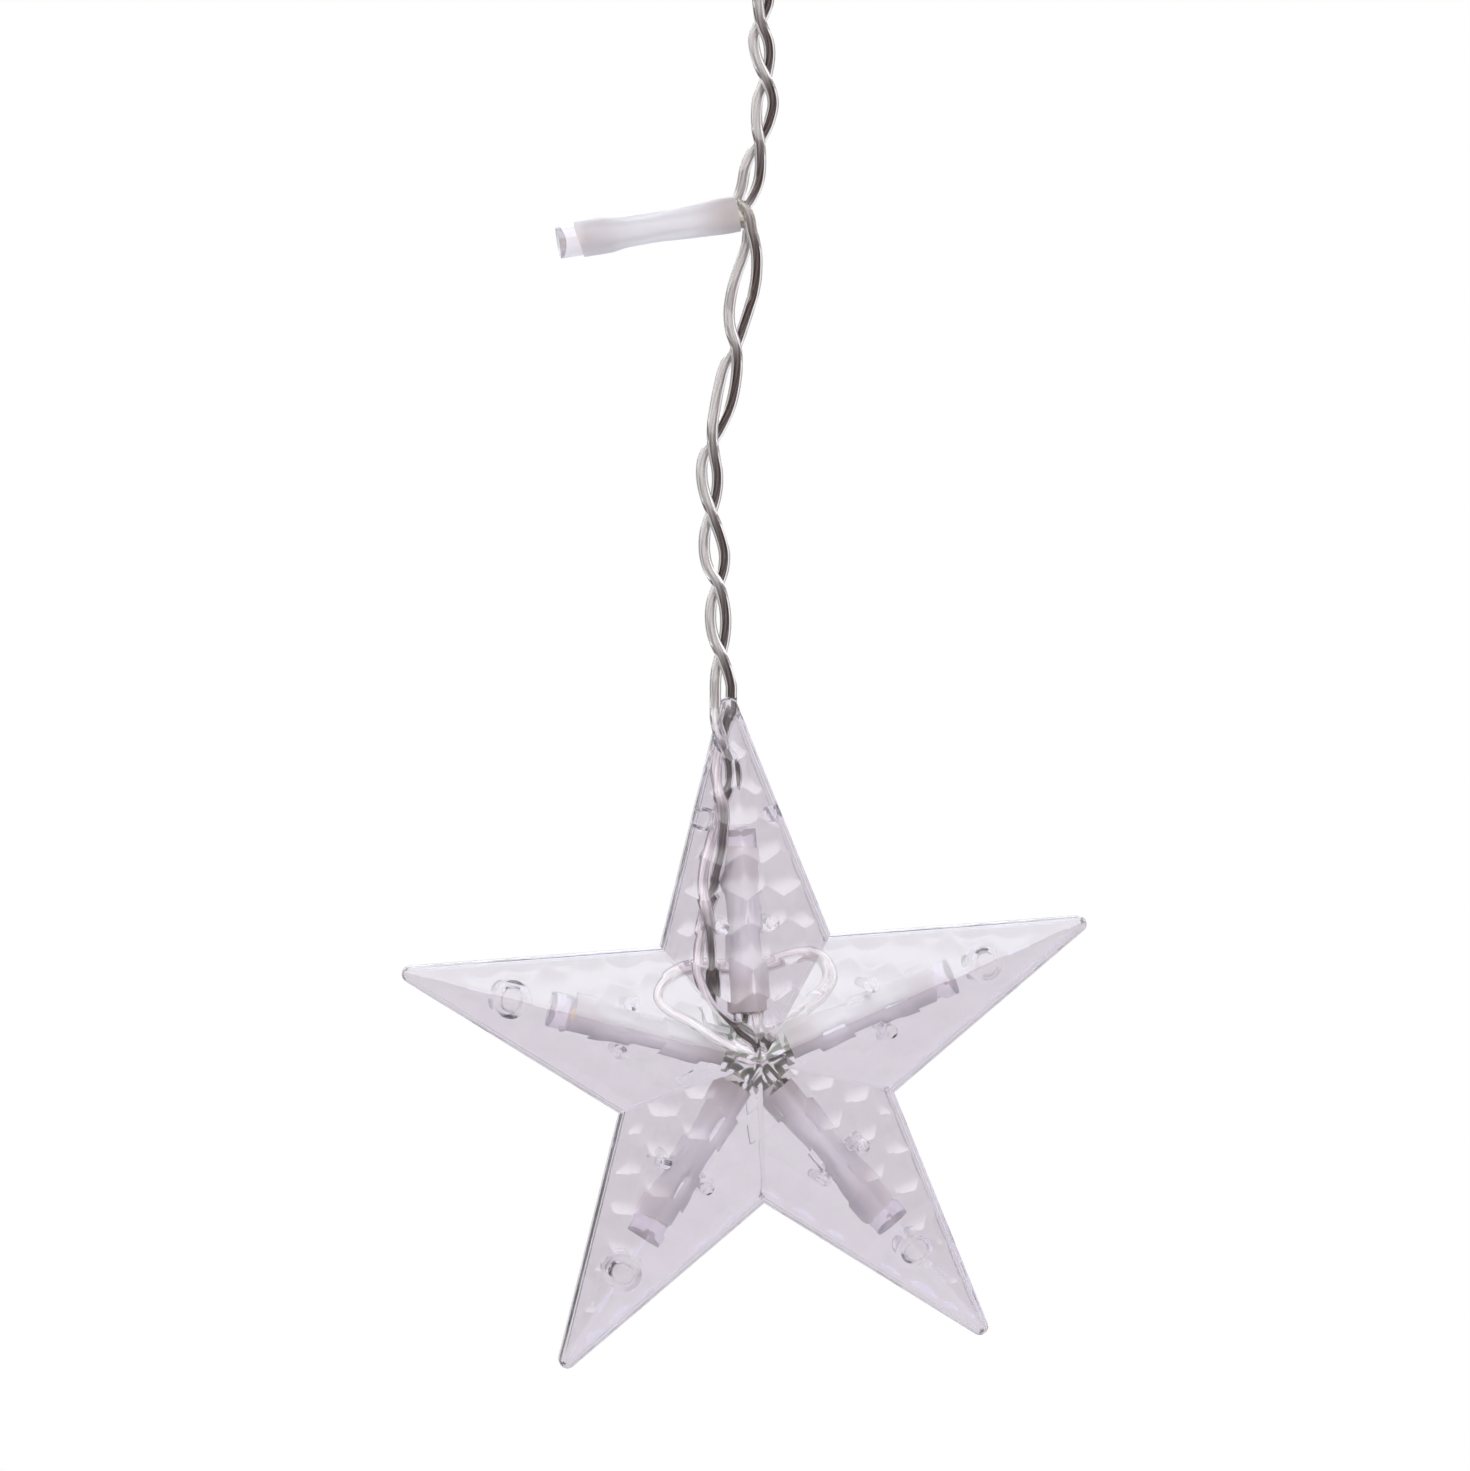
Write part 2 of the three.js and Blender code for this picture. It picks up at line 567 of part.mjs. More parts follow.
// Ribbed strain relief whose ball end is centred on the joint that the wires swing about.
function bootSolid() {
  const ballCentre = connectorFoot - bootLength;
  const profile = [[0, connectorFoot + bootRoot], [bootRadius, connectorFoot + bootRoot]];
  const pitch = (bootLength - bootRib) / bootRibs;
  for (let i = 0; i < bootRibs; i++) {
    const top = connectorFoot - pitch * i;
    const flank = (pitch - bootRib) * ribFlankShare;
    profile.push([bootRadius, top - bootRib], [bootRadius - bootRib, top - bootRib - flank]);
    profile.push([bootRadius - bootRib, top - pitch + flank], [bootRadius, top - pitch]);
  }
  for (let i = 1; i <= arcSteps; i++) {
    const turn = (Math.PI / 2) * (i / arcSteps);
    profile.push([i === arcSteps ? 0 : bootBall * Math.cos(turn), ballCentre - bootBall * Math.sin(turn)]);
  }
  return toSolid(turned(profile, lampSides));
}

function buildConnector(parent) {
  const moulded = { color: 0xe4e1e6, roughness: 0.4, metalness: 0 };
  const brass = { color: 0xc9a95a, roughness: 0.3, metalness: 1 };
  const rubber = { color: 0xd0ccd2, roughness: 0.7, metalness: 0 };
  addPiece(parent, 'connector_body', connectorBody(), new THREE.MeshStandardMaterial(moulded));
  addPiece(parent, 'strain_relief_boot', bootSolid(), new THREE.MeshStandardMaterial(rubber));
  addPiece(parent, 'connector_seal_ring', ringSolid(), new THREE.MeshStandardMaterial(rubber));
  const start = shroudReach - shroudDepth - pinRoot;
  for (const [name, side] of [['supply_contact_pin', 1], ['return_contact_pin', -1]]) {
    const pin = pinSolid(side, pinRadius, start, start + pinLength);
    addPiece(parent, name, pin, new THREE.MeshStandardMaterial(brass));
  }
}

const icicleLight = new THREE.Group();
const star = new THREE.Group();
star.position.copy(starCentre);
star.rotation.y = -starLean;
icicleLight.add(star);
buildConnector(icicleLight);
buildDropLamp(icicleLight);
buildStarShells(star);
buildStarLamps(star);
buildLinks(star);
buildWires(icicleLight);
icicleLight.updateMatrixWorld(true);

export default icicleLight;
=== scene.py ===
# A star icicle light: a hollow clear star with five lamps hangs on twisted clear wires below a side lamp.
# Metres, +Z up, -Y towards the viewer. The origin is where the hook bears on the connector's eye.
import math
import bmesh
import bpy
import numpy as np
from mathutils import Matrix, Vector


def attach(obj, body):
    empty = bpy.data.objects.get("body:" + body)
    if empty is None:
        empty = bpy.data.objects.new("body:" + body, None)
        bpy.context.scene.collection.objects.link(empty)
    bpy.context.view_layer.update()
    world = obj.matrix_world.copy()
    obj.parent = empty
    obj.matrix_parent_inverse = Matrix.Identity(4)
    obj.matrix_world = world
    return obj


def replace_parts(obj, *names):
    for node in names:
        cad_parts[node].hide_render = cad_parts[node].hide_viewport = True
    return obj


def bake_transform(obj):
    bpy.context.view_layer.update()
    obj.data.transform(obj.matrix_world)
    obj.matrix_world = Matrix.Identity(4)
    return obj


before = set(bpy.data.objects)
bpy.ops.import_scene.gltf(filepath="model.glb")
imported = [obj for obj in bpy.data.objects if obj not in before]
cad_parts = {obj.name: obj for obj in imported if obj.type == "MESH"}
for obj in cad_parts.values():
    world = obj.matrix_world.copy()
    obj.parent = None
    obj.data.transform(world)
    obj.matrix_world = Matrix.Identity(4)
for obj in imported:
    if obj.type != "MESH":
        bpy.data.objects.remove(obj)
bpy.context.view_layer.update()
mm = 0.001


# Small helpers

def linearColour(hexCode):
    # sRGB hex to linear: c / 12.92 up to 0.04045, else ((c + 0.055) / 1.055) to the power 2.4
    parts = [int(hexCode[i:i + 2], 16) / 255 for i in (1, 3, 5)]
    return tuple(c / 12.92 if c <= 0.04045 else ((c + 0.055) / 1.055) ** 2.4 for c in parts) + (1.0,)


def feedSockets(tree, node, inputs):
    # each input is a socket that feeds the node, a hex colour or a plain value
    for name, value in inputs.items():
        if isinstance(value, bpy.types.NodeSocket):
            tree.links.new(value, node.inputs[name])
        else:
            node.inputs[name].default_value = linearColour(value) if isinstance(value, str) else value


def addNode(tree, kind, inputs=None, **settings):
    # a Mix node takes its factor at 0 and blends from 2 to 3, or from 6 to 7 where it blends colours
    node = tree.nodes.new(kind)
    for name, value in settings.items():
        setattr(node, name, value)
    feedSockets(tree, node, inputs or {})
    return node


def newMaterial(name, values):
    material = bpy.data.materials.new(name)
    material.use_nodes = True
    tree = material.node_tree
    shader = tree.nodes["Principled BSDF"]
    feedSockets(tree, shader, values)
    return material, tree, shader


def grainedMaterial(name, values, size, detail=2.0, stretch=(1, 1, 1), bump=None, colours=None):
    # noise on Object coordinates with grains about size metres across, as a bump of (strength, distance)
    # or as a blend of two colours
    material, tree, shader = newMaterial(name, values)
    place = addNode(tree, "ShaderNodeTexCoord").outputs["Object"]
    spread = addNode(tree, "ShaderNodeMapping", {"Vector": place, "Scale": tuple(s / size for s in stretch)})
    noise = addNode(tree, "ShaderNodeTexNoise", {
        "Vector": spread.outputs[0], "Scale": 1.0, "Detail": detail}).outputs[0]
    if bump:
        relief = addNode(tree, "ShaderNodeBump", {"Height": noise, "Strength": bump[0], "Distance": bump[1]})
        feedSockets(tree, shader, {"Normal": relief.outputs[0]})
    if colours:
        blend = addNode(tree, "ShaderNodeMix", {0: noise, 6: colours[0], 7: colours[1]}, data_type="RGBA")
        feedSockets(tree, shader, {"Base Color": blend.outputs[2]})
    return material


def newPiece(name, points, faces, materials, body, faceMaterials=None, creaseAngle=30):
    # points in metres, faces wound outwards
    mesh = bpy.data.meshes.new(name)
    mesh.from_pydata(np.asarray(points).tolist(), [], faces)
    for material in materials:
        mesh.materials.append(material)
    if faceMaterials is not None:
        mesh.polygons.foreach_set("material_index", faceMaterials)
    smoothMesh(mesh, creaseAngle)
    piece = bpy.data.objects.new(name, mesh)
    bpy.context.scene.collection.objects.link(piece)
    if body:
        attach(piece, body)
    return piece


def smoothMesh(mesh, creaseAngle):
    # shaded smooth, with a sharp edge where two faces meet at more than that angle in degrees
    mesh.polygons.foreach_set("use_smooth", np.ones(len(mesh.polygons), bool))
    mesh.set_sharp_from_angle(angle=math.radians(creaseAngle))
    mesh.update()


def ringFaces(ringCount, sides, offset=0, loop=False):
    # quads between consecutive rings; with loop, the last ring joins the first
    ring, side = np.meshgrid(np.arange(ringCount if loop else ringCount - 1), np.arange(sides), indexing="ij")
    onward, nextSide = (ring + 1) % ringCount, (side + 1) % sides
    corners = [ring * sides + side, onward * sides + side, onward * sides + nextSide, ring * sides + nextSide]
    return (np.stack(corners, -1).reshape(-1, 4) + offset).tolist()


# Camera: level, slightly from the left, with the photograph's framing

camera = {
    "lookAt": (-4.35 * mm, 0.0, -131.9 * mm),
    "turn": math.radians(5.5),  # from straight in front towards the left
    "distance": 0.9,
    "frameWidth": 213.1 * mm,  # what the picture spans at the object
    "sensor": 36.0,
    "nearest": 0.01,  # the camera draws nothing closer than this
}


def buildCamera():
    data = bpy.data.cameras.new("studioCamera")
    data.sensor_width = camera["sensor"]
    data.lens = camera["sensor"] * camera["distance"] / camera["frameWidth"]
    data.clip_start = camera["nearest"]
    eye = bpy.data.objects.new("studioCamera", data)
    back = Vector((-math.sin(camera["turn"]), -math.cos(camera["turn"]), 0))
    eye.location = Vector(camera["lookAt"]) + back * camera["distance"]
    eye.rotation_euler = (math.pi / 2, 0, -camera["turn"])
    bpy.context.scene.collection.objects.link(eye)
    bpy.context.scene.camera = eye


buildCamera()
print("camera set")


# Wire materials

# Soft clear PVC, extruded: glossy and water clear, with faint lengthwise lines from the die.
clearPvc, tree, shader = newMaterial("clearPvcInsulation", {
    "Base Color": "#fbf7f8", "Roughness": 0.05, "IOR": 1.53, "Transmission Weight": 1.0})
wireUv = addNode(tree, "ShaderNodeUVMap", uv_map="wireUv").outputs[0]
dieLines = addNode(tree, "ShaderNodeMapping", {"Vector": wireUv, "Scale": (9.0, 60.0, 1.0)})
dieNoise = addNode(tree, "ShaderNodeTexNoise", {"Vector": dieLines.outputs[0], "Scale": 1.0, "Detail": 2.0})
relief = addNode(tree, "ShaderNodeBump", {"Height": dieNoise.outputs[0], "Strength": 0.1, "Distance": 0.05 * mm})
feedSockets(tree, shader, {"Normal": relief.outputs[0]})

# The same PVC kneaded at the short bends between the lamps: cloudy, with a yellowish green cast.
kneadedPvc = grainedMaterial("kneadedPvcInsulation", {
    "Base Color": "#aea891", "Roughness": 0.3, "IOR": 1.53, "Transmission Weight": 0.9}, 0.9 * mm,
    bump=(0.5, 0.2 * mm))

# Tinned copper strands, stranded: 7 fine wires, drawn as 5 so that they show.
# Painted light and shade: each wire is painted as bright, lit tin on its left flank and as dark brown, shaded copper
# on its right.
strands = {"count": 5, "layLength": 32 * mm}
tinnedCopper, tree, shader = newMaterial("tinnedCopperStrands", {"Roughness": 0.35})
wireUv = addNode(tree, "ShaderNodeUVMap", uv_map="wireUv").outputs[0]
axes = addNode(tree, "ShaderNodeSeparateXYZ", {0: wireUv})
laid = addNode(tree, "ShaderNodeMath", {0: axes.outputs[1], 1: 1 / strands["layLength"]}, operation="MULTIPLY")
wound = addNode(tree, "ShaderNodeMath", {0: axes.outputs[0], 1: laid.outputs[0]}, operation="ADD")
phase = addNode(tree, "ShaderNodeMath", {0: wound.outputs[0], 1: strands["count"] * 2 * math.pi}, operation="MULTIPLY")
wave = addNode(tree, "ShaderNodeMath", {0: phase.outputs[0]}, operation="SINE")
crown = addNode(tree, "ShaderNodeMapRange", {"Value": wave.outputs[0], "From Min": -1.0, "From Max": 1.0}).outputs[0]
flank = addNode(tree, "ShaderNodeAttribute", attribute_name="flank").outputs["Fac"]
# painted light: bright, lit tin and dark brown, shaded copper, each striped by the strands
litTin = addNode(tree, "ShaderNodeMix", {0: crown, 6: "#e3dedd", 7: "#fffdfc"}, data_type="RGBA")
shadedCopper = addNode(tree, "ShaderNodeMix", {0: crown, 6: "#271713", 7: "#654f47"}, data_type="RGBA")
metal = addNode(tree, "ShaderNodeMix", {0: flank, 6: litTin.outputs[2], 7: shadedCopper.outputs[2]}, data_type="RGBA")
polish = addNode(tree, "ShaderNodeMapRange", {"Value": flank, "To Min": 0.08, "To Max": 0.85})
relief = addNode(tree, "ShaderNodeBump", {"Height": crown, "Strength": 0.3, "Distance": 0.05 * mm})
feedSockets(tree, shader, {"Base Color": metal.outputs[2], "Metallic": polish.outputs[0], "Normal": relief.outputs[0]})


# Wires: routes in millimetres, point by point, as they hang in the photograph; their ends in the knot and at the
# connector are guessed

wire = {
    "diameter": 1.7, "coreDiameter": 0.7,
    "sides": 24, "coreSides": 14,
    "step": 0.35,  # from ring to ring along the wire
    "spanSamples": 24,  # points worked out from one point of a route to the next
    "creaseAngle": 60,
    "knotCentre": (-1.7, 0.0, -178.6),  # the middle of the star, where the wires of the lamps meet
    "flankWidth": 0.5,  # how far beside the pair's middle line a wire turns from its painted light to its painted shade
    "shadeAboveStar": 0.52, "shadeFrom": -132, "shadeOver": 6,  # above the star the tin is painted greyer, from this height up, and inside the star it stays white as a painted highlight
    "knotTone": 0.7, "knotReach": 8,  # in the knot it is this brown at least, fading out over the reach
}

# The middle line of the twisted pair, as height and side distance: a wire right of it shows its dark flank, painted
# shade, and a wire left of it its bright flank, painted light
pairLine = [(-183, -4), (-172, -7), (-166, -8.5), (-157.4, -8.2), (-142, -6.1), (-131, -6.2), (-126, -6),
            (-120.4, -6.4), (-110.3, -6.8), (-99.9, -7.8), (-89.6, -7.7), (-75.9, -4.3), (-67.6, -3.2), (-60, -2),
            (-54, -2.3), (-46.1, -0.9), (-37, 0.1), (-28.6, -0.7), (-20, -0.3)]

supplyUpper = [
    (-1.1, -0.55, -23.4), (-1.1, -0.6, -25.1), (-1, -0.8, -26.5), (-0.7, -1, -28.6), (0.4, -0.5, -31.2),
    (0.7, 0, -32.9), (0.6, 0.5, -34.6), (0.1, 1.15, -37), (-0.9, 0.6, -39.4), (-1.2, 0, -41.6), (-1.2, -0.5, -43.8),
    (-0.9, -1.15, -46.1), (-0.7, -0.7, -48.3), (-0.7, -0.2, -50), (-1, -0.2, -51.9), (-1.7, -0.1, -53.6),
    (-2.6, 0.2, -55), (-3.6, 0.3, -55.9)]
returnUpper = [
    (0.6, 0.55, -23.4), (0.6, 0.6, -25.1), (0.4, 0.8, -26.2), (-0.7, 1, -28.6), (-1.4, 0.5, -30.1),
    (-1.6, 0, -31.6), (-1.1, -0.7, -34.3), (0.1, -1.15, -37), (0.9, -0.6, -38.7), (1.2, 0, -40.4), (0.8, 0.3, -42.5),
    (0.3, 0.6, -43.9), (-0.9, 1.15, -46.1), (-2.2, 0.7, -48.1), (-2.9, 0.3, -50), (-3.2, 0.5, -51.9),
    (-3.6, 0.7, -53.4), (-4.1, 0.6, -54.6)]
supplyLong = [
    (-4.1, -0.8, -54.9), (-3.3, -0.95, -55.3), (-2.5, -1, -56.6), (-2, -0.95, -58.9), (-1.7, -1, -60),
    (-1.3, -0.7, -61.9), (-1.2, -0.3, -63.9), (-1.3, 0, -65.9), (-1.6, 0, -67.6), (-1.7, 0, -68.1), (-2.2, 0, -69.7),
    (-3.1, 0.6, -72.6), (-4.3, 1.15, -75.9), (-5.8, 0.6, -78.4), (-6.7, 0, -81.6), (-7.3, -0.4, -84.6),
    (-7.7, -0.9, -87.2), (-7.7, -1.15, -89.6), (-7.4, -0.7, -91.4), (-6.9, 0, -94.1), (-7, 0.5, -96.7),
    (-7.8, 1.15, -99.9), (-8.6, 0.5, -102.3), (-8.8, 0, -105.1), (-8.3, -0.6, -107.7), (-6.8, -1.15, -110.3),
    (-6, -0.5, -112.8), (-5.7, 0, -115.5), (-5.9, 0.5, -118.1), (-6.4, 1.15, -120.4), (-7, 0.4, -122.6),
    (-7.2, 0, -124.6), (-7.2, 0, -125.7), (-7.2, 0, -126.5), (-7.2, 0, -126.8), (-7.2, 0, -128), (-7.2, -0.5, -129.7),
    (-6.7, -0.9, -131.7), (-5.6, -0.9, -134.1), (-4.8, -0.3, -136.4), (-4.7, 0.4, -138.7), (-5.4, 0.9, -140.4),
    (-6.2, 1.15, -142), (-7, 1, -144.5), (-8, 0.4, -148), (-8.7, 0.2, -151.4), (-8.9, -0.2, -154),
    (-8.4, -1, -157.4), (-8, -1, -159.7), (-7.6, -0.4, -163.2), (-7.35, 1.2, -166.4), (-7.15, 3.4, -169.3),
    (-7.1, 5.1, -171.6), (-6.85, 5.15, -173.6), (-6.1, 4.15, -175), (-5.07, 2.75, -175.5), (-4.06, 1.38, -175.1),
    (-3.35, 0.4, -173.9), (-3.05, 0, -172.4), (-3.05, 0, -171.5)]
returnLong = [
    (-4.2, 0.9, -57.4), (-3.2, 1, -57.6), (-2.4, 1, -58.4), (-2.4, 1, -59.6), (-2.5, 1, -60.6), (-3.1, 0.75, -62.5),
    (-3.8, 0.3, -64.3), (-4.4, 0, -66.1), (-4.8, 0, -67.6), (-4.9, 0, -68.1), (-5.2, 0, -70.3), (-5.1, -0.6, -72.9),
    (-4.3, -1.15, -75.9), (-4.1, -0.6, -78.4), (-4.4, 0, -81.6), (-5.1, 0.4, -84.5), (-6.4, 0.9, -87.4),
    (-7.7, 1.15, -89.6), (-8.8, 0.6, -91.4), (-9.2, 0, -93.8), (-8.9, -0.5, -96.5), (-7.8, -1.15, -99.9),
    (-6.7, -0.5, -102.6), (-5.9, 0, -105.5), (-6, 0.6, -107.8), (-6.8, 1.15, -110.3), (-7.7, 0.5, -112.8),
    (-7.9, 0, -115.2), (-7.5, -0.5, -117.8), (-6.4, -1.15, -120.4), (-5.4, -0.4, -122.8), (-4.9, 0, -124.8),
    (-4.9, 0, -125.7), (-4.9, 0, -126.5), (-4.9, 0, -126.8), (-4.9, 0, -128), (-5.3, 0.6, -129.7), (-6, 1, -132.2),
    (-6.7, 0.6, -134.9), (-7, 0, -137.5), (-6.7, -0.6, -139.9), (-6.1, -1.2, -142.2), (-6, -2.4, -144.5),
    (-6.2, -2.75, -146.8), (-6.4, -2.8, -148.8), (-7, -1.6, -152.4), (-7.1, 0, -154), (-7.6, 1, -155.4),
    (-8.3, 1.15, -157.4), (-8.9, 1, -159.9), (-9.6, 0.5, -162.8), (-9.6, -0.5, -165.7), (-8.9, -1.7, -168.6),
    (-7.4, -2.4, -171.4), (-5.1, -3, -173.5), (-2.9, -3.5, -174.9), (-0.9, -3.3, -176.2), (-0.2, -2, -176.9),
    (0.7, -0.5, -176.6), (1.9, 0, -176.1), (2.6, 0, -175.9)]
slackRoute = [
    (-1.15, 0, -171.3), (-1.15, 0, -172), (-0.88, 0.36, -173.7), (-0.13, 1.36, -174.95), (0.89, 2.72, -175.4),
    (2.3, 3.9, -174.9), (4, 4.1, -173.5), (6.2, 3.2, -171.6), (8.7, 1.9, -169.3), (9.6, 0.9, -166.7),
    (8.4, 0.7, -164.4), (5.9, 1, -163.5), (3.3, 2, -164.1), (0.4, 3.3, -165.1), (-2.9, 3.8, -165.6),
    (-6.2, 3.2, -165.6), (-9.4, 2.6, -165.4), (-12.3, 1.4, -166.1), (-14.6, 0.8, -167.7), (-15.5, 0.2, -169.8),
    (-14.6, -0.6, -171.6), (-13.2, -1.6, -172.4), (-11.2, -2.9, -173.3), (-9.2, -4.7, -174.6), (-6.9, -6.2, -176),
    (-4.5, -6.7, -177.2), (-2.4, -5.9, -178), (-1.3, -4, -178.3), (-1.6, -2, -178.1), (-2.9, -0.6, -177.5),
    (-4.4, 0, -176.9), (-5.4, 0, -176.65)]

# Route and length of each run. A long one also has the height at which it is cut in two, between its two joints,
# where the other wire hides the seam.
upperRuns = {"supply": (supplyUpper, 34.8), "return": (returnUpper, 34)}
longRuns = {"supply": (supplyLong, -99.9, (48, 88.6)), "return": (returnLong, -89.6, (35.3, 101.8))}


def smoothRoute(route, step):
    # centripetal Catmull-Rom curve through the points, cut into even steps; result in metres
    points = np.array(route, float)
    padded = np.vstack([2 * points[0] - points[1], points, 2 * points[-1] - points[-2]])
    p0, p1, p2, p3 = padded[:-3], padded[1:-2], padded[2:-1], padded[3:]
    d0, d1, d2 = (np.sqrt(np.linalg.norm(b - a, axis=1))[:, None] for a, b in ((p0, p1), (p1, p2), (p2, p3)))
    leave = ((p1 - p0) / d0 - (p2 - p0) / (d0 + d1) + (p2 - p1) / d1) * d1
    arrive = ((p2 - p1) / d1 - (p3 - p1) / (d1 + d2) + (p3 - p2) / d2) * d1
    t = np.linspace(0, 1, wire["spanSamples"], endpoint=False)[None, :, None]
    shape = [2 * t ** 3 - 3 * t ** 2 + 1, t ** 3 - 2 * t ** 2 + t, 3 * t ** 2 - 2 * t ** 3, t ** 3 - t ** 2]
    parts = [p1, leave, p2, arrive]
    curve = sum(s * p[:, None, :] for s, p in zip(shape, parts)).reshape(-1, 3)
    curve = np.vstack([curve, points[-1]])
    run = np.concatenate([[0], np.cumsum(np.linalg.norm(np.diff(curve, axis=0), axis=1))])
    even = np.linspace(0, run[-1], max(8, int(round(run[-1] / step))) + 1)
    return np.stack([np.interp(even, run, curve[:, i]) for i in range(3)], 1) * mm


def tubeSkin(path, radius, sides):
    # rings of radius r about each path point P: P + r (cos a * side + sin a * up), closed by a fan at each end,
    # where side is square to the path and to the depth axis
    along = np.gradient(path, axis=0)
    along /= np.linalg.norm(along, axis=1)[:, None]
    side = np.cross(along, (0.0, 1.0, 0.0))
    side /= np.linalg.norm(side, axis=1)[:, None]
    up = np.cross(side, along)
    turn = np.linspace(0, 2 * np.pi, sides, endpoint=False)
    spokes = np.cos(turn)[None, :, None] * side[:, None, :] + np.sin(turn)[None, :, None] * up[:, None, :]
    points = (path[:, None, :] + radius * spokes).reshape(-1, 3)
    count = len(path)
    faces = ringFaces(count, sides)
    first, last = count * sides, count * sides + 1
    here = np.arange(sides)
    after = (here + 1) % sides
    base = (count - 1) * sides
    faces += np.stack([np.full(sides, first), here, after], 1).tolist()
    faces += np.stack([np.full(sides, last), base + after, base + here], 1).tolist()
    run = np.concatenate([[0], np.cumsum(np.linalg.norm(np.diff(path, axis=0), axis=1))])
    uv = np.stack([np.tile(turn / (2 * np.pi), count), np.repeat(run, sides)], 1)
    uv = np.vstack([uv, [[0, run[0]], [0, run[-1]]]])
    return np.vstack([points, path[:1], path[-1:]]), faces, uv


def buildWire(name, path, body, tone=None, insulation=clearPvc):
    # clear insulation round a stranded core; tone is the flank shown all along, or None for the twisted pair, whose
    # flanks get painted light and shade by side
    skin, skinFaces, skinUv = tubeSkin(path, wire["diameter"] * mm / 2, wire["sides"])
    heart, heartFaces, heartUv = tubeSkin(path[1:-1], wire["coreDiameter"] * mm / 2, wire["coreSides"])
    shifted = [[corner + len(skin) for corner in face] for face in heartFaces]
    kinds = np.concatenate([np.zeros(len(skinFaces), int), np.ones(len(shifted), int)])
    points, faces = np.vstack([skin, heart]), skinFaces + shifted
    piece = newPiece(name, points, faces, [insulation, tinnedCopper], body, kinds,
                     wire["creaseAngle"])
    mesh = piece.data
    corners = np.zeros(len(mesh.loops), int)
    mesh.loops.foreach_get("vertex_index", corners)
    uv = np.vstack([skinUv, heartUv])[corners]
    # the quads that close a ring run from the last side to 1 instead of back to 0
    owner = np.repeat(np.arange(len(faces)), [len(face) for face in faces])
    highest = np.zeros(len(faces))
    np.maximum.at(highest, owner, uv[:, 0])
    uv[:, 0] += (highest[owner] > 0.9) & (uv[:, 0] < 0.1)
    mesh.uv_layers.new(name="wireUv").data.foreach_set("uv", uv.ravel())
    if tone is None:
        heights, middles = np.array(pairLine).T * mm
        line = np.vstack([np.repeat(path, wire["sides"], 0), path[[0, -1]],
                          np.repeat(path[1:-1], wire["coreSides"], 0), path[[1, -2]]])
        # the flank: painted light left of the pair's middle line, painted shade right of it
        off = line[:, 0] - np.interp(line[:, 2], heights, middles)
        values = 0.5 + 0.5 * np.tanh(off / (wire["flankWidth"] * mm))
        # painted shade above the star and a painted highlight inside it: the tin is greyer above and white within
        outside = np.clip((line[:, 2] / mm - wire["shadeFrom"]) / wire["shadeOver"], 0, 1)
        knot = np.clip(1 - np.linalg.norm(line / mm - wire["knotCentre"], axis=1) / wire["knotReach"], 0, 1)
        values = np.maximum(values + (1 - values) * wire["shadeAboveStar"] * outside, wire["knotTone"] * knot)
    else:
        values = np.full(len(points), tone)
    mesh.attributes.new("flank", "FLOAT", "POINT").data.foreach_set("value", values.astype(np.float32))
    return piece


def buildWires():
    for name, (route, length) in upperRuns.items():
        path = smoothRoute(route, wire["step"])
        piece = buildWire(f"{name}_wire_upper_run", path, "upper_drop")
        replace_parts(piece, f"{name}_wire_upper")
    for name, (route, seam, lengths) in longRuns.items():
        path = smoothRoute(route, wire["step"])
        cut = int(np.argmax(path[:, 2] < seam * mm))
        middle, lower = path[:cut + 1], path[cut:]
        piece = buildWire(f"{name}_wire_middle_run", middle, None)
        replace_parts(piece, f"{name}_wire_middle")
        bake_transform(piece)
        piece = buildWire(f"{name}_wire_lower_run", lower, None)
        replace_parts(piece, f"{name}_wire_lower", f"{name}_wire_star")
        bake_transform(piece)
    path = smoothRoute(slackRoute, wire["step"])
    piece = buildWire("slack_wire_loop", path, "star", tone=0.0)
    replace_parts(piece, "slack_wire")


buildWires()
print("wires laid")


# Star shells

# Clear polystyrene, injection moulded and polished: glassy, with a lilac tint that two walls deepen.
clearStyrene = grainedMaterial("clearPolystyrene", {
    "Base Color": "#e9e5ea", "Roughness": 0.03, "IOR": 1.57, "Transmission Weight": 1.0}, 7 * mm, 1.0,
    bump=(0.12, 0.15 * mm))

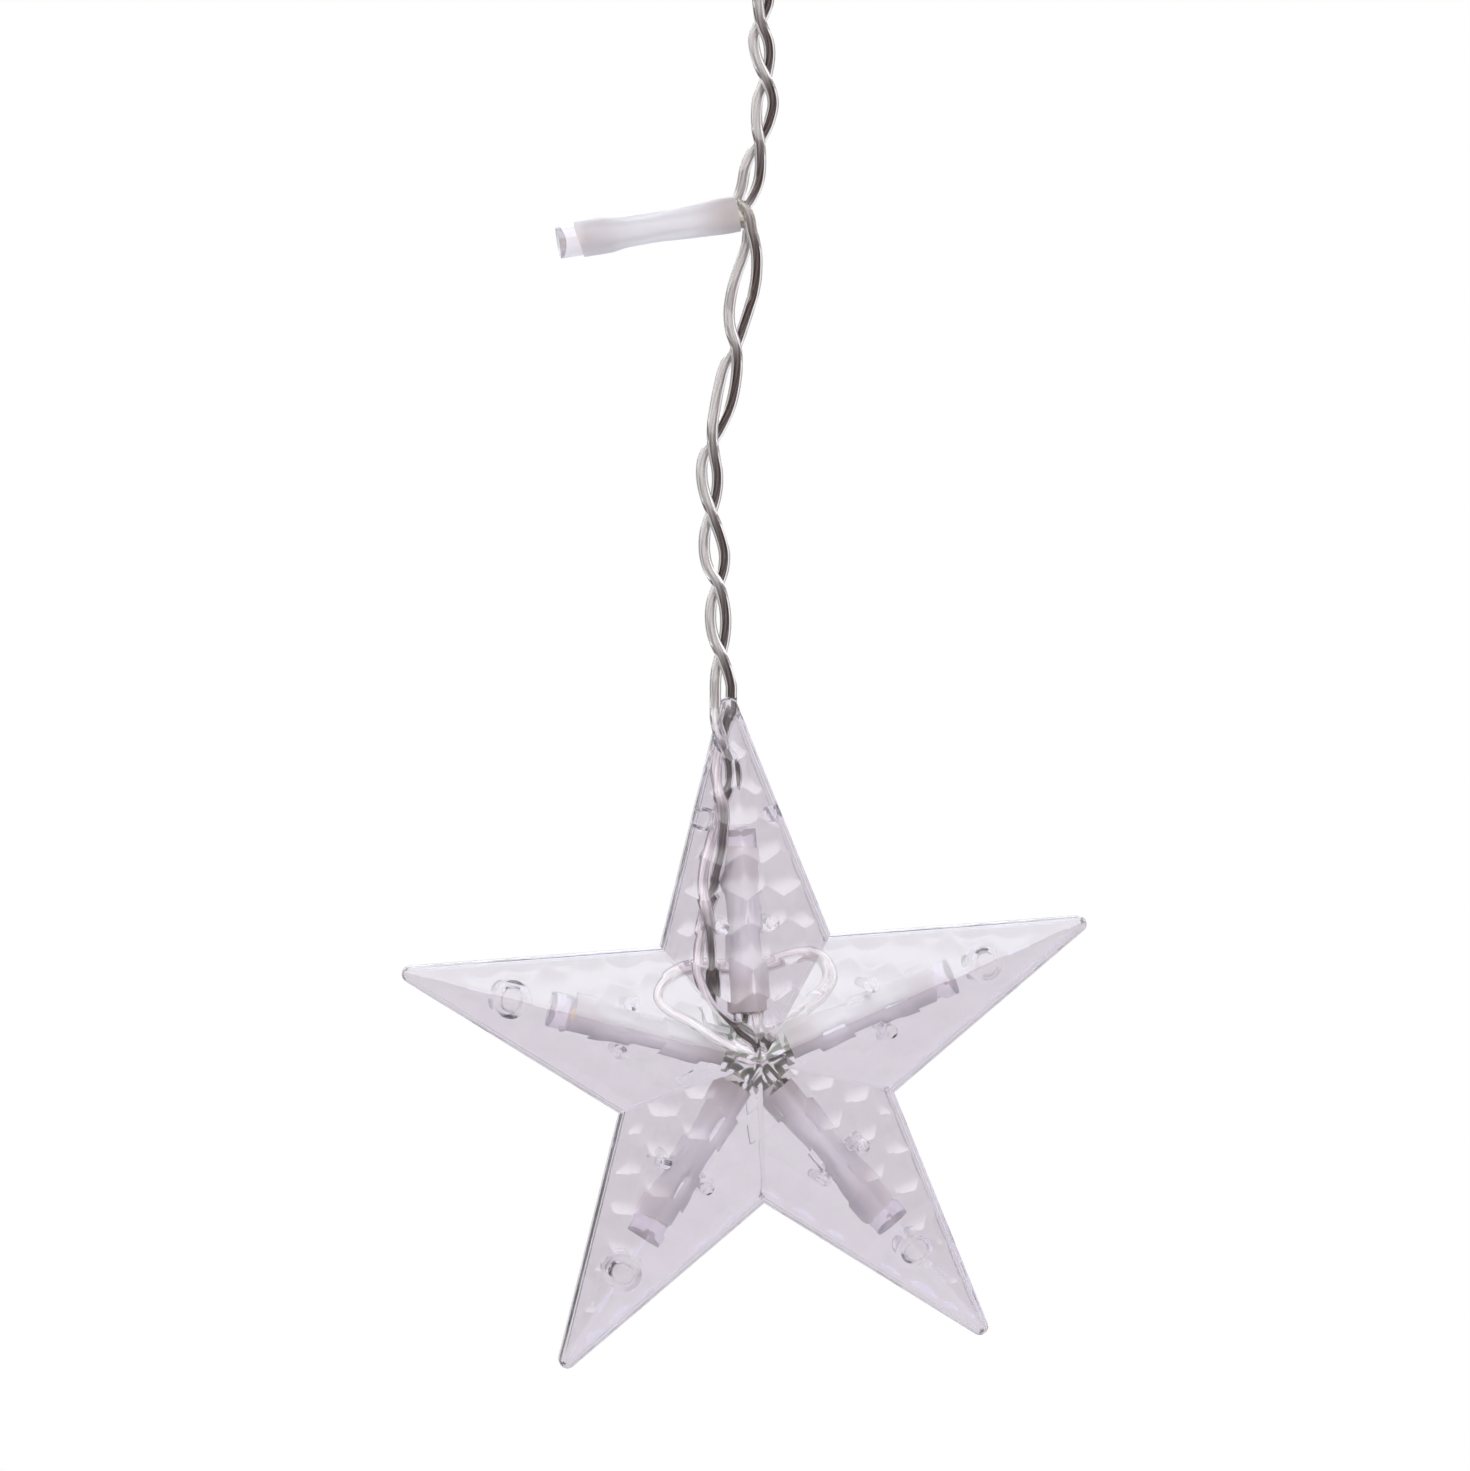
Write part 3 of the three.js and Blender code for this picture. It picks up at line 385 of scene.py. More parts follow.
star = {
    "centre": wire["knotCentre"],
    "lean": math.radians(4.1),  # the top arm leans to the viewer's left
    "arms": 5,
    "radius": 55.2,  # to the sharp tip, before it is rounded
    "tipRounding": 1.25, "tipSteps": 8,
    "rim": 1.6, "apex": 13.0,  # height of a half at its edge and in its middle
    "wall": 1.0,
    "gap": 0.3,  # between the half shells, and round the pegs
    "cellSide": 3.3,  # of the hexagon dimples on the outer face
    "cellSteps": 8,  # mesh steps along a cell's side
    "firstCell": 6.6,  # on each arm's middle line, from the middle of the star
    "dimpleRadii": (18.0, 30.0),  # front, rear
    "borderLift": 0.16,  # how far the borders between the dimples stand over the plain face
    "frameWidth": 1.0,  # plain band along the rim
    "frameSlopes": (0.22, 0.08),  # how it falls to the dimples, front, rear
    "rimRounding": [(0.0, 1.1), (0.03, 1.35), (0.1, 1.6), (0.22, 1.82), (0.42, 2.05)],  # inset and depth
    "ridgeRounding": 0.5, "hollowRounding": 0.5,
    "creaseAngle": 14,
    "postRadius": 1.05, "postSides": 24,
    "tubeWall": 0.55,  # of the boss without a peg
    "pegRoot": 0.6,  # how far a peg reaches back into its boss
    "wireWay": (-142, -124),  # heights between which the shells make room for the wires
    # Forms to be cut to size: how far out, how wide and how deep they are made at first
    "armReach": (-4, 58), "armHalfWidth": 15, "armFloor": 1.0,
    "roomReach": (-2, 54),
    "roomRows": [0, 0.1, 0.2, 0.32, 0.46, 0.64, 0.86, 1.15, 1.6, 2.3, 13],  # across from an arm's middle line
    "fineRows": 2,  # rows of the outer mesh on each side of the ridge that are split in two
    "kiteReach": 1.03,  # the kites that cut the arms apart end past the tips by this much
    "overlap": 0.04, "middleOverlap": 0.05,  # of one arm with the next, and past the star's middle
    "beyond": 20,  # a depth past both faces
}

halfTip = math.pi / 10
notchShare = (3 - math.sqrt(5)) / 2  # a notch's distance from the middle over a tip's
halfRoot = math.sqrt(3) / 2  # height over side of the hexagons' triangles
edgePlace = star["radius"] * math.sin(halfTip)
faceSlope = (star["apex"] - star["rim"]) / edgePlace
innerApex = star["apex"] - star["wall"] * math.hypot(1, faceSlope)
innerEdge = edgePlace - star["wall"]

# Pegs join the halves beyond the lamps: arm, outwards, across, radius of the boss, radius and depth of the peg.
# The boss to the left of the top lamp is a plain tube without a peg.
pegs = [(1, 36.2, 0, 2.6, 1.3, 3.4), (2, 36.2, 0, 2.55, 1.3, 3.4), (3, 36.2, 0, 2.2, 1.3, 3.4),
        (4, 36.2, 0, 2.25, 1.3, 3.4), (0, 35.0, 4.6, 1.7, 0, 0), (0, 35.0, -4.6, 1.2, 0.5, 1.3)]
# Slim posts cradle each lamp.
posts = [(arm, 19.4, side * 3.4, star["postRadius"]) for arm in range(star["arms"]) for side in (-1, 1)]


def inStar(outwards, across, depth, arm=0.0):
    # arm frame to the row frame, in metres: turned by the arm's share of a circle and the star's lean
    turn = star["lean"] + 2 * math.pi * arm / star["arms"]
    outwards, across, depth = np.broadcast_arrays(*map(np.asarray, (outwards, across, depth)))
    x = star["centre"][0] - outwards * math.sin(turn) - across * math.cos(turn)
    z = star["centre"][2] + outwards * math.cos(turn) - across * math.sin(turn)
    return np.stack([x, star["centre"][1] + depth, z], -1).reshape(-1, 3) * mm


def solid(name, points, faces):
    # a bare closed body for carving, its faces turned outwards
    body = newPiece(name, points, faces, [], None)
    work = bmesh.new()
    work.from_mesh(body.data)
    bmesh.ops.recalc_face_normals(work, faces=work.faces)
    work.to_mesh(body.data)
    work.free()
    return body


def carve(piece, tool, operation):
    # takes one body away from another, joins them or keeps what they share
    step = piece.modifiers.new("carve", "BOOLEAN")
    step.object, step.operation, step.solver = tool, operation, "MANIFOLD"
    bpy.context.view_layer.update()
    result = bpy.data.meshes.new_from_object(piece.evaluated_get(bpy.context.evaluated_depsgraph_get()))
    piece.modifiers.clear()
    used = [piece.data, tool.data]
    piece.data = result
    bpy.data.objects.remove(tool)
    for mesh in used:
        bpy.data.meshes.remove(mesh)
    return piece


def prism(name, layers):
    # a block through outlines of (outwards, across) pairs, each at its depth
    count = len(layers[0][0])
    points = np.vstack([inStar(outline[:, 0], outline[:, 1], depth) for outline, depth in layers])
    last = (len(layers) - 1) * count
    faces = ringFaces(len(layers), count) + [list(range(count)), list(range(last, last + count))]
    return solid(name, points, faces)


def starOutline(inset):
    # tips rounded by an arc, notches left sharp; (outwards, across) pairs of the first arm's frame
    outline = []
    tip, rounding = star["radius"] - inset / math.sin(halfTip), star["tipRounding"] - inset
    flank = math.pi / 2 - halfTip
    for arm in range(star["arms"]):
        turn = 2 * math.pi * arm / star["arms"]
        reach = tip - rounding / math.sin(halfTip)
        for i in range(star["tipSteps"] + 1):
            swing = turn + flank * (2 * i / star["tipSteps"] - 1)
            outline.append((reach * math.cos(turn) + rounding * math.cos(swing),
                            reach * math.sin(turn) + rounding * math.sin(swing)))
        notch = turn + math.pi / star["arms"]
        depth = tip * notchShare
        outline.append((depth * math.cos(notch), depth * math.sin(notch)))
    return np.array(outline)


def armKite(arm, tip):
    # the outline of one arm with its tip at that distance, a little wider so that the arms overlap
    notchAngle = math.pi / star["arms"]
    notch = np.array([math.cos(notchAngle), math.sin(notchAngle)]) * tip * notchShare
    onward = notch - (tip, 0)
    notch = notch + star["overlap"] * onward / np.linalg.norm(onward)
    turn = 2 * math.pi * arm / star["arms"]
    spin = np.array([[math.cos(turn), math.sin(turn)], [-math.sin(turn), math.cos(turn)]])
    kite = np.array([(-star["middleOverlap"], 0), (notch[0], -notch[1]), (tip, 0), notch]) @ spin
    return prism("kite", [(kite, -star["beyond"]), (kite, star["beyond"])])


def hollowBlock(arm, side):
    # the room in one arm: height = apex - slope * (o sin t + sqrt(w^2 + q^2) cos t) on rows of constant w,
    # for the distances o outwards and w across
    near = np.array(star["roomRows"])
    across = np.concatenate([-near[:0:-1], near])
    profile = innerApex - faceSlope * np.sqrt(across ** 2 + star["hollowRounding"] ** 2) * math.cos(halfTip)
    rows = []
    for outwards in star["roomReach"]:
        ceiling = profile - faceSlope * outwards * math.sin(halfTip)
        floor = np.full(len(across), -side * 2.0 * star["beyond"])
        rows.append(inStar(outwards, np.append(across, across[::-1]), np.append(side * ceiling, floor), arm))
    count = 2 * len(across)
    faces = ringFaces(2, count) + [list(range(count)), list(range(count, 2 * count))]
    block = solid("hollowBlock", np.vstack(rows), faces)
    return carve(block, armKite(arm, innerEdge / math.sin(halfTip)), "INTERSECT")


def dimpledHeight(outwards, across, side):
    # outer face's height over the parting plane: the plain slope plus lift - (a^2 - r^2) / 2R,
    # a bowl in a hexagon of side a, where r is the distance from its middle, but never lower than the frame;
    # sqrt(w^2 + q^2) in place of w rounds the ridge, and two arms have the same height where they meet in a valley
    a = star["cellSide"]
    dimpleRadius, frameSlope = (star[name][int(side > 0)] for name in ("dimpleRadii", "frameSlopes"))
    pitch = a * math.sqrt(3)
    nearest = np.full(outwards.shape, np.inf)
    for first, shift in ((0.0, 0.0), (1.5 * a, pitch / 2)):
        s = outwards - star["firstCell"] - first
        s = s - 3 * a * np.round(s / (3 * a))
        t = across - shift
        t = t - pitch * np.round(t / pitch)
        nearest = np.minimum(nearest, s ** 2 + t ** 2)
    ridge = np.sqrt(across ** 2 + star["ridgeRounding"] ** 2)
    fromMiddle = outwards * math.sin(halfTip) + ridge * math.cos(halfTip)
    fromRim = edgePlace - fromMiddle
    framed = -frameSlope * np.maximum(fromRim - star["frameWidth"], 0)
    bowl = np.maximum((nearest - a ** 2) / (2 * dimpleRadius), framed)
    return star["apex"] - faceSlope * fromMiddle + star["borderLift"] + bowl


def armBlock(arm, side):
    # one arm of the outer form: a triangle mesh in line with the hexagons, cut to the arm's kite
    h = star["cellSide"] / star["cellSteps"]
    last = int(star["armHalfWidth"] / (h * halfRoot))
    fine = star["fineRows"]
    rows = np.concatenate([np.arange(-last, -fine), np.arange(-fine, fine, 0.5), np.arange(fine, last + 1)])
    columns = np.arange(int(star["armReach"][0] / h), int(star["armReach"][1] / h) + 1)
    j, i = np.meshgrid(np.arange(len(rows)) - int(np.argmin(np.abs(rows))), columns, indexing="ij")
    outwards = (i + 0.5 * (j % 2)) * h
    across = np.repeat(rows[:, None], len(columns), 1) * h * halfRoot
    # beyond the kite the height would pass the floor
    height = np.maximum(dimpledHeight(outwards, across, side), -star["armFloor"] / 2)
    ceiling = inStar(outwards, across, side * height, arm)
    number = np.arange(outwards.size).reshape(outwards.shape)
    a, b, c, d = number[:-1, :-1], number[:-1, 1:], number[1:, :-1], number[1:, 1:]
    odd = (j[:-1, :-1] % 2).astype(bool)
    first = np.where(odd[..., None], np.stack([a, b, d], -1), np.stack([a, b, c], -1))
    second = np.where(odd[..., None], np.stack([a, d, c], -1), np.stack([b, d, c], -1))
    faces = np.concatenate([first.reshape(-1, 3), second.reshape(-1, 3)]).tolist()
    border = np.concatenate([number[0, :-1], number[:-1, -1], number[-1, :0:-1], number[:0:-1, 0]])
    floor = inStar(outwards.ravel()[border], across.ravel()[border], -side * star["armFloor"], arm)
    count, base = len(border), outwards.size
    here = np.arange(count)
    after = (here + 1) % count
    faces += np.stack([border[here], border[after], base + after, base + here], 1).tolist()
    faces.append(list(range(base, base + count)))
    block = solid("armBlock", np.vstack([ceiling, floor]), faces)
    return carve(block, armKite(arm, star["radius"] * star["kiteReach"]), "INTERSECT")


def rods(name, places, near, far, sides=40):
    # round bars along the depth axis: (arm, outwards, across, radius) each
    turn = np.linspace(0, 2 * np.pi, sides, endpoint=False)
    points, faces = [], []
    for k, (arm, outwards, across, radius) in enumerate(places):
        for depth in (near, far):
            points.append(inStar(outwards + radius * np.cos(turn), across + radius * np.sin(turn), depth, arm))
        start = 2 * sides * k
        faces += ringFaces(2, sides, start)
        faces += [list(range(start, start + sides)), list(range(start + sides, start + 2 * sides))]
    return solid(name, np.vstack(points), faces)


def wireTunnel(route):
    # room for a wire where it passes the tip, a little wider than the wire
    path = smoothRoute(route, wire["step"])
    low, high = star["wireWay"]
    path = path[(path[:, 2] < high * mm) & (path[:, 2] > low * mm)]
    points, faces, _ = tubeSkin(path, (wire["diameter"] / 2 + star["gap"]) * mm, wire["sides"])
    return solid("wireTunnel", points, faces)


def buildShell(name, side):
    # side is -1 for the half in front and 1 for the one behind
    face, beyond = side * star["gap"] / 2, side * star["beyond"]
    shell = armBlock(0, side)
    for arm in range(1, star["arms"]):
        shell = carve(shell, armBlock(arm, side), "UNION")
    layers = [(starOutline(inset), side * depth) for inset, depth in star["rimRounding"]]
    layers = [(layers[0][0], face)] + layers + [(layers[-1][0], beyond)]
    shell = carve(shell, prism("outline", layers), "INTERSECT")
    hollow = hollowBlock(0, side)
    for arm in range(1, star["arms"]):
        hollow = carve(hollow, hollowBlock(arm, side), "UNION")
    bosses = [(arm, out, across, boss) for arm, out, across, boss, _, _ in pegs]
    bores = [(arm, out, across, boss - star["tubeWall"]) for arm, out, across, boss, pin, _ in pegs if not pin]
    stubs = carve(rods("bosses", bosses, face, beyond), rods("bores", bores, -side, beyond + side), "DIFFERENCE")
    hollow = carve(hollow, stubs, "DIFFERENCE")
    hollow = carve(hollow, rods("posts", posts, face, beyond, star["postSides"]), "DIFFERENCE")
    shell = carve(shell, hollow, "DIFFERENCE")
    for depth in sorted({peg[5] for peg in pegs if peg[4]}, reverse=True):
        pins = [(arm, out, across, pin) for arm, out, across, _, pin, deep in pegs if pin and deep == depth]
        if side < 0:
            holes = [(arm, out, across, pin + star["gap"]) for arm, out, across, pin in pins]
            shell = carve(shell, rods("sockets", holes, 1, -depth), "DIFFERENCE")
        else:
            shell = carve(shell, rods("pins", pins, star["pegRoot"], star["gap"] - depth), "UNION")
    for route in (supplyLong, returnLong):
        shell = carve(shell, wireTunnel(route), "DIFFERENCE")
    shell.name = shell.data.name = name
    shell.data.materials.clear()
    shell.data.materials.append(clearStyrene)
    smoothMesh(shell.data, star["creaseAngle"])
    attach(shell, "star")
    return shell


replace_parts(buildShell("front_half_shell", -1), "front_shell")
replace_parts(buildShell("rear_half_shell", 1), "rear_shell")
print("star shells moulded")


# Lamps

# Heat-shrink sleeve, thin milky polyolefin shrunk over the joint: bluish white, soft gloss, light passes through,
# and painted greyer as shade towards the mouth, where the glue plug is, and towards the LED.
shrinkSleeve = grainedMaterial("milkyShrinkSleeve", {
    "Roughness": 0.42, "IOR": 1.3, "Transmission Weight": 0.62}, 2.2 * mm, bump=(0.35, 0.12 * mm))
tree = shrinkSleeve.node_tree
# painted shade: the sleeve's milky colour is greyer towards the mouth and towards the LED
paintedShade = addNode(tree, "ShaderNodeAttribute", attribute_name="paintedShade").outputs["Fac"]
milkAndShade = addNode(tree, "ShaderNodeMix", {0: paintedShade, 6: "#eeecee", 7: "#ddd6d7"}, data_type="RGBA")
feedSockets(tree, tree.nodes["Principled BSDF"], {"Base Color": milkAndShade.outputs[2]})

# Diffused epoxy, cast: a glassy lens, a little milky, with a faint pinkish cast.
clearEpoxy = grainedMaterial("clearEpoxy", {
    "Base Color": "#f2edf4", "Roughness": 0.1, "IOR": 1.5, "Transmission Weight": 0.82}, 1.5 * mm, 1.0,
    bump=(0.08, 0.05 * mm))

# Hot-melt sealing glue, set as it ran: half clear, soft gloss, uneven.
meltGlue = grainedMaterial("hotMeltGlue", {
    "Base Color": "#ddd8c8", "Roughness": 0.2, "IOR": 1.48, "Transmission Weight": 0.85}, 1.8 * mm,
    bump=(0.4, 0.15 * mm))

# Tinned steel leads, stamped: a dull silver with fine drawing lines.
tinnedSteel = grainedMaterial("tinnedSteelLead", {"Metallic": 1.0, "Roughness": 0.35}, 0.5 * mm, 3.0,
                              colours=("#8d8580", "#cfc8c2"))

# Phosphor gel over the chip: a dull warm yellow drop in the lead frame's cup.
phosphorGel = grainedMaterial("phosphorGel", {"Roughness": 0.6}, 0.2 * mm, colours=("#c9a566", "#e2c68a"))

lamp = {
    "length": 26.4,  # sleeve mouth to lens end
    "lensShown": 3.0,  # how far the LED sticks out
    "ledRadius": 2.4,
    "ledLength": 8.0,
    "hollow": 1.2,  # depth of the concave lens end
    "sleeveWall": 0.2,
    "mouthSquash": 0.78,  # depth over width at the mouth
    "stations": [(0, 2.6), (3, 2.6), (6.2, 2.54), (7.4, 2.4), (9, 2.3), (12, 2.24), (16, 2.24), (17.4, 2.36),
                 (18.2, 2.64), (19.6, 2.7), (23, 2.7)],  # distance from the mouth and radius of the sleeve
    "endSlant": 0.5, "slantTurn": 2.2, "slantPower": 6,  # the sleeve is cut a little askew at the lens
    "waist": (13, 5.5),  # where the sleeve is creased most, and over what reach
    # Each of these has its number round the sleeve, its turn in radians for each millimetre along it, and its depth
    "creases": (3, 0.06, 0.28), "ripples": (5, -0.35, 0.06), "swells": (2, 0.9, 0.05),
    "swellEnd": 20,  # the swell fades out towards this distance
    "mouthShadeEnd": 2, "mouthShadeFade": 5,  # painted shade towards the mouth: full up to the first, and gone past the fade
    "ledStart": 15.5, "ledShadeFade": 4, "ledShadeShare": 0.45,  # painted shade towards the LED: it rises from here over the fade to this share of the full shade
    "sleeveSides": 64, "sleeveSteps": 70,
    "creaseAngle": 40,
    "seedStep": 1.7,  # turns the creases from one lamp to the next
    "leadRadius": 0.25,
    "leadSpacing": 2.2,
    "leadGap": 0.3,  # from the seal to the leads, and from the LED's root to its epoxy
    # In the LED each lead widens: distances across and from its root, and radius. The cathode lead carries the cup,
    # bent in to the middle, and the anode lead ends in a small post beside it.
    "cathodeEnd": [(-1.1, 2.2, 0.25), (-0.8, 3, 0.4), (-0.25, 3.5, 0.6), (-0.15, 4.3, 0.95)],
    "anodeEnd": [(1.1, 2.6, 0.25), (1.15, 3.4, 0.42), (1.2, 4.2, 0.4)],
    "dropRadius": 0.75, "dropHeight": 4.3, "dropFoot": (0.7, 4.2),  # phosphor: a dome on a flat foot in the cup
    "leadSides": {"cathode": 20, "anode": 16}, "dropSides": 24,
    "sealLength": 3.4,
    "sealPlay": 0.25,  # between the glue and the sleeve
    "sealShoulders": [(0, 0.4), (0.1, 2.6)],  # how far in from the play, and how deep in the mouth
    "sealTaper": 0.6,  # share of its width left at its inner end
    "bulgePower": 0.8,  # less than 1 makes the bulge fuller than an ellipse
    "sealRoughness": 0.25,
    "sealSides": 40,
    "rootRounding": 0.15, "endRounding": 0.12,  # edges of the LED body
    "bowlInset": 0.22,  # from its side to the edge of the hollow
    "lensSides": 48,
}

# How far from the star's middle each lamp's mouth is, arm by arm
mouthPlaces = {"top_lamp": 6.9, "left_lamp": 4.0, "lower_left_lamp": 4.0, "lower_right_lamp": 5.0, "right_lamp": 4.8}

# name, body, turn from upright, mouth in millimetres, how far the seal bulges out of it
lampPlaces = [("drop_lamp", "drop_lamp", math.radians(99.4), (-3.98, 0.0, -56.33), 1.5)]
for arm, (name, mouthPlace) in enumerate(mouthPlaces.items()):
    mouth = inStar(mouthPlace, 0.0, 0.0, arm)[0] / mm
    lampPlaces.append((name, "star", star["lean"] + 2 * math.pi * arm / star["arms"], tuple(mouth), 0.5))


def placeLamp(points, turn, mouth):
    # lamp frame to the row frame: its own z turned to the lamp's direction, from the mouth, in metres
    x, y, z = np.asarray(points).T
    return np.stack([x * math.cos(turn) - z * math.sin(turn), y, x * math.sin(turn) + z * math.cos(turn)], 1) * mm \
        + np.array(mouth) * mm


def pinch(points):
    # flattens front to back towards the mouth
    reach = lamp["length"] - lamp["ledLength"]
    near = np.clip(1 - points[:, 2] / reach, 0, 1)
    points[:, 1] *= 1 - near * (1 - lamp["mouthSquash"])
    return points


def latheSkin(profile, sides):
    # rings of (radius, height) about z; a radius of zero at an end is a single closing point
    radius, height = np.array(profile, float).T
    turn = np.linspace(0, 2 * np.pi, sides, endpoint=False)
    inner = slice(1, -1)
    ring = np.stack([radius[inner, None] * np.cos(turn), radius[inner, None] * np.sin(turn),
                     np.repeat(height[inner, None], sides, 1)], -1).reshape(-1, 3)
    count = len(radius) - 2
    points = np.vstack([ring, (0, 0, height[0]), (0, 0, height[-1])])
    here = np.arange(sides)
    after = (here + 1) % sides
    base = (count - 1) * sides
    faces = [face[::-1] for face in ringFaces(count, sides)]
    faces += np.stack([after, here, np.full(sides, count * sides)], 1).tolist()
    faces += np.stack([base + here, base + after, np.full(sides, count * sides + 1)], 1).tolist()
    return points, faces


def arc(centreRadius, centreHeight, radius, start, end, steps):
    # points of a profile on an arc between two angles in degrees
    turn = np.linspace(math.radians(start), math.radians(end), steps)
    return list(zip(centreRadius + radius * np.cos(turn), centreHeight + radius * np.sin(turn)))


def sleeveSkin(seed):
    # outer wall along the stations and the bore back, with shrink creases along the waist:
    # radius = station + depth * waist(z) * (|sin(count / 2 * u + phase)| - 0.64), with a crease where the sine is
    # zero, and with ripples and a slow swell added; 0.64 is about the mean of |sin|
    sides, steps = lamp["sleeveSides"], lamp["sleeveSteps"]
    height = np.linspace(0, lamp["length"] - lamp["lensShown"], steps)
    stations = np.array(lamp["stations"])
    base = np.interp(height, stations[:, 0], stations[:, 1])
    base = np.convolve(np.pad(base, 2, "edge"), np.ones(5) / 5, "valid")
    turn = np.linspace(0, 2 * np.pi, sides, endpoint=False)
    u, z = np.meshgrid(turn, height)
    middle, reach = lamp["waist"]
    waist = np.exp(-((z - middle) / reach) ** 2)
    (creases, creaseTurn, creaseDepth), (ripples, rippleTurn, rippleDepth), (swells, swellTurn, swellDepth) = \
        lamp["creases"], lamp["ripples"], lamp["swells"]
    ripple = creaseDepth * waist * (np.abs(np.sin(creases / 2 * u + 0.5 * seed + creaseTurn * z)) - 0.64)
    ripple += rippleDepth * waist * np.sin(ripples * u + rippleTurn * z + 2 * seed)
    ripple += swellDepth * np.sin(swells * u + swellTurn * z + seed) * np.clip(1 - z / lamp["swellEnd"], 0, 1)
    z = z + lamp["endSlant"] * np.sin(u + seed + lamp["slantTurn"]) * (z / height[-1]) ** lamp["slantPower"]
    outer = base[:, None] + ripple
    layers = []
    for radius, order in ((outer, slice(None)), (outer - lamp["sleeveWall"], slice(None, None, -1))):
        layers.append(np.stack([radius * np.cos(u), radius * np.sin(u), z], -1)[order])
    points = np.concatenate(layers).reshape(-1, 3)
    return pinch(points), [face[::-1] for face in ringFaces(2 * steps, sides, loop=True)]


def sleeveShade(z):
    # painted shade: 1 at the mouth, fading past mouthShadeEnd, and rising to ledShadeShare towards the LED
    glue = np.clip(1 - (z - lamp["mouthShadeEnd"]) / lamp["mouthShadeFade"], 0, 1)
    return (glue + lamp["ledShadeShare"] * np.clip((z - lamp["ledStart"]) / lamp["ledShadeFade"], 0, 1)).astype(np.float32)


def lensSkin():
    # 5 mm LED body: rounded rim, then a bowl z = end - hollow * (1 - (r / rim)^2)
    root, end = lamp["length"] - lamp["ledLength"] + lamp["leadGap"], lamp["length"]
    r, back, front = lamp["ledRadius"], lamp["rootRounding"], lamp["endRounding"]
    rim = r - lamp["bowlInset"]
    bowl = [(rim * s, end - lamp["hollow"] * (1 - s * s)) for s in np.linspace(1, 0, 12)]
    edge = arc(r - back, root + back, back, -90, 0, 4) + arc(r - front, end - front, front, 0, 90, 5)
    return latheSkin([(0, root)] + edge + bowl, lamp["lensSides"])


def sealSkin(dome):
    # glue plug in the mouth, bulging out by dome, its outside uneven by roughness * sin(2.3 x + 1) * cos(2.9 y)
    bore, length = lamp["stations"][0][1] - lamp["sleeveWall"] - lamp["sealPlay"], lamp["sealLength"]
    bulge = [(bore * math.cos(t) ** lamp["bulgePower"], -dome * math.sin(t)) for t in np.linspace(1.45, 0, 8)]
    plug = [(bore - inset, depth) for inset, depth in lamp["sealShoulders"]]
    plug += [(bore * lamp["sealTaper"], length), (0, length)]
    points, faces = latheSkin([(0, -dome)] + bulge + plug, lamp["sealSides"])
    x, y, z = points.T
    points[:, 2] -= lamp["sealRoughness"] * np.sin(2.3 * x + 1.0) * np.cos(2.9 * y) * (z < 0.1)
    return pinch(points), faces


def sweep(path, radii, sides):
    # a bar along straight spans, whose radius changes evenly from point to point
    path, radii = np.array(path, float), np.array(radii, float)
    run = np.concatenate([[0], np.cumsum(np.linalg.norm(np.diff(path, axis=0), axis=1))])
    fine = np.unique(np.concatenate([run, np.linspace(0, run[-1], 40)]))
    line = np.stack([np.interp(fine, run, path[:, k]) for k in range(3)], 1)
    points, faces, _ = tubeSkin(line, np.interp(fine, run, radii)[:, None, None], sides)
    return points, faces


def buildLamp(name, body, turn, mouth, dome, seed):
    ledRoot = lamp["length"] - lamp["ledLength"]
    sleeve, sleeveFaces = sleeveSkin(seed)
    lens, lensFaces = lensSkin()
    seal, sealFaces = sealSkin(dome)
    leads = {}
    for lead, side in (("cathode", -1), ("anode", 1)):
        path = [(side * lamp["leadSpacing"] / 2, 0, lamp["sealLength"] + lamp["leadGap"])]
        path += [(across, 0, ledRoot + up) for across, up, _ in lamp[f"{lead}End"]]
        radii = [lamp["leadRadius"]] + [radius for _, _, radius in lamp[f"{lead}End"]]
        leads[lead] = sweep(path, radii, lamp["leadSides"][lead])
    cathode, anode = leads["cathode"], leads["anode"]
    footRadius, foot = lamp["dropFoot"]
    middle, dropRadius = ledRoot + lamp["dropHeight"], lamp["dropRadius"]
    drop = latheSkin([(0, ledRoot + foot), (footRadius, ledRoot + foot)] + arc(0, middle, dropRadius, 0, 80, 6)
                     + [(0, middle + dropRadius)], lamp["dropSides"])
    cup = np.vstack([cathode[0], drop[0] + (lamp["cathodeEnd"][-1][0], 0, 0)])
    cupFaces = cathode[1] + [[corner + len(cathode[0]) for corner in face] for face in drop[1]]
    kinds = np.concatenate([np.zeros(len(cathode[1]), int), np.ones(len(drop[1]), int)])
    pieces = [
        ("sleeve", sleeve, sleeveFaces, [shrinkSleeve], "shrink_sleeve", None),
        ("lens", lens, lensFaces, [clearEpoxy], "led_epoxy", None),
        ("seal", seal, sealFaces, [meltGlue], "seal_compound", None),
        ("anode_lead", anode[0], anode[1], [tinnedSteel], "tinned_lead", None),
        ("cathode_lead", cup, cupFaces, [tinnedSteel, phosphorGel], "tinned_lead", kinds),
    ]
    for ending, points, faces, materials, slotName, kinds in pieces:
        piece = newPiece(f"{name}_{ending}_piece", placeLamp(points, turn, mouth), faces, materials, body,
                         kinds, lamp["creaseAngle"])
        if ending == "sleeve":
            # painted shade towards the mouth and the LED, kept as a point attribute
            shadeLayer = piece.data.attributes.new("paintedShade", "FLOAT", "POINT")
            shadeLayer.data.foreach_set("value", sleeveShade(points[:, 2]))
        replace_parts(piece, f"{name}_{ending}")


for seed, (name, body, turn, mouth, dome) in enumerate(lampPlaces):
    buildLamp(name, body, turn, mouth, dome, lamp["seedStep"] * seed)
print("lamps fitted")


# Links between the lamps' mouths

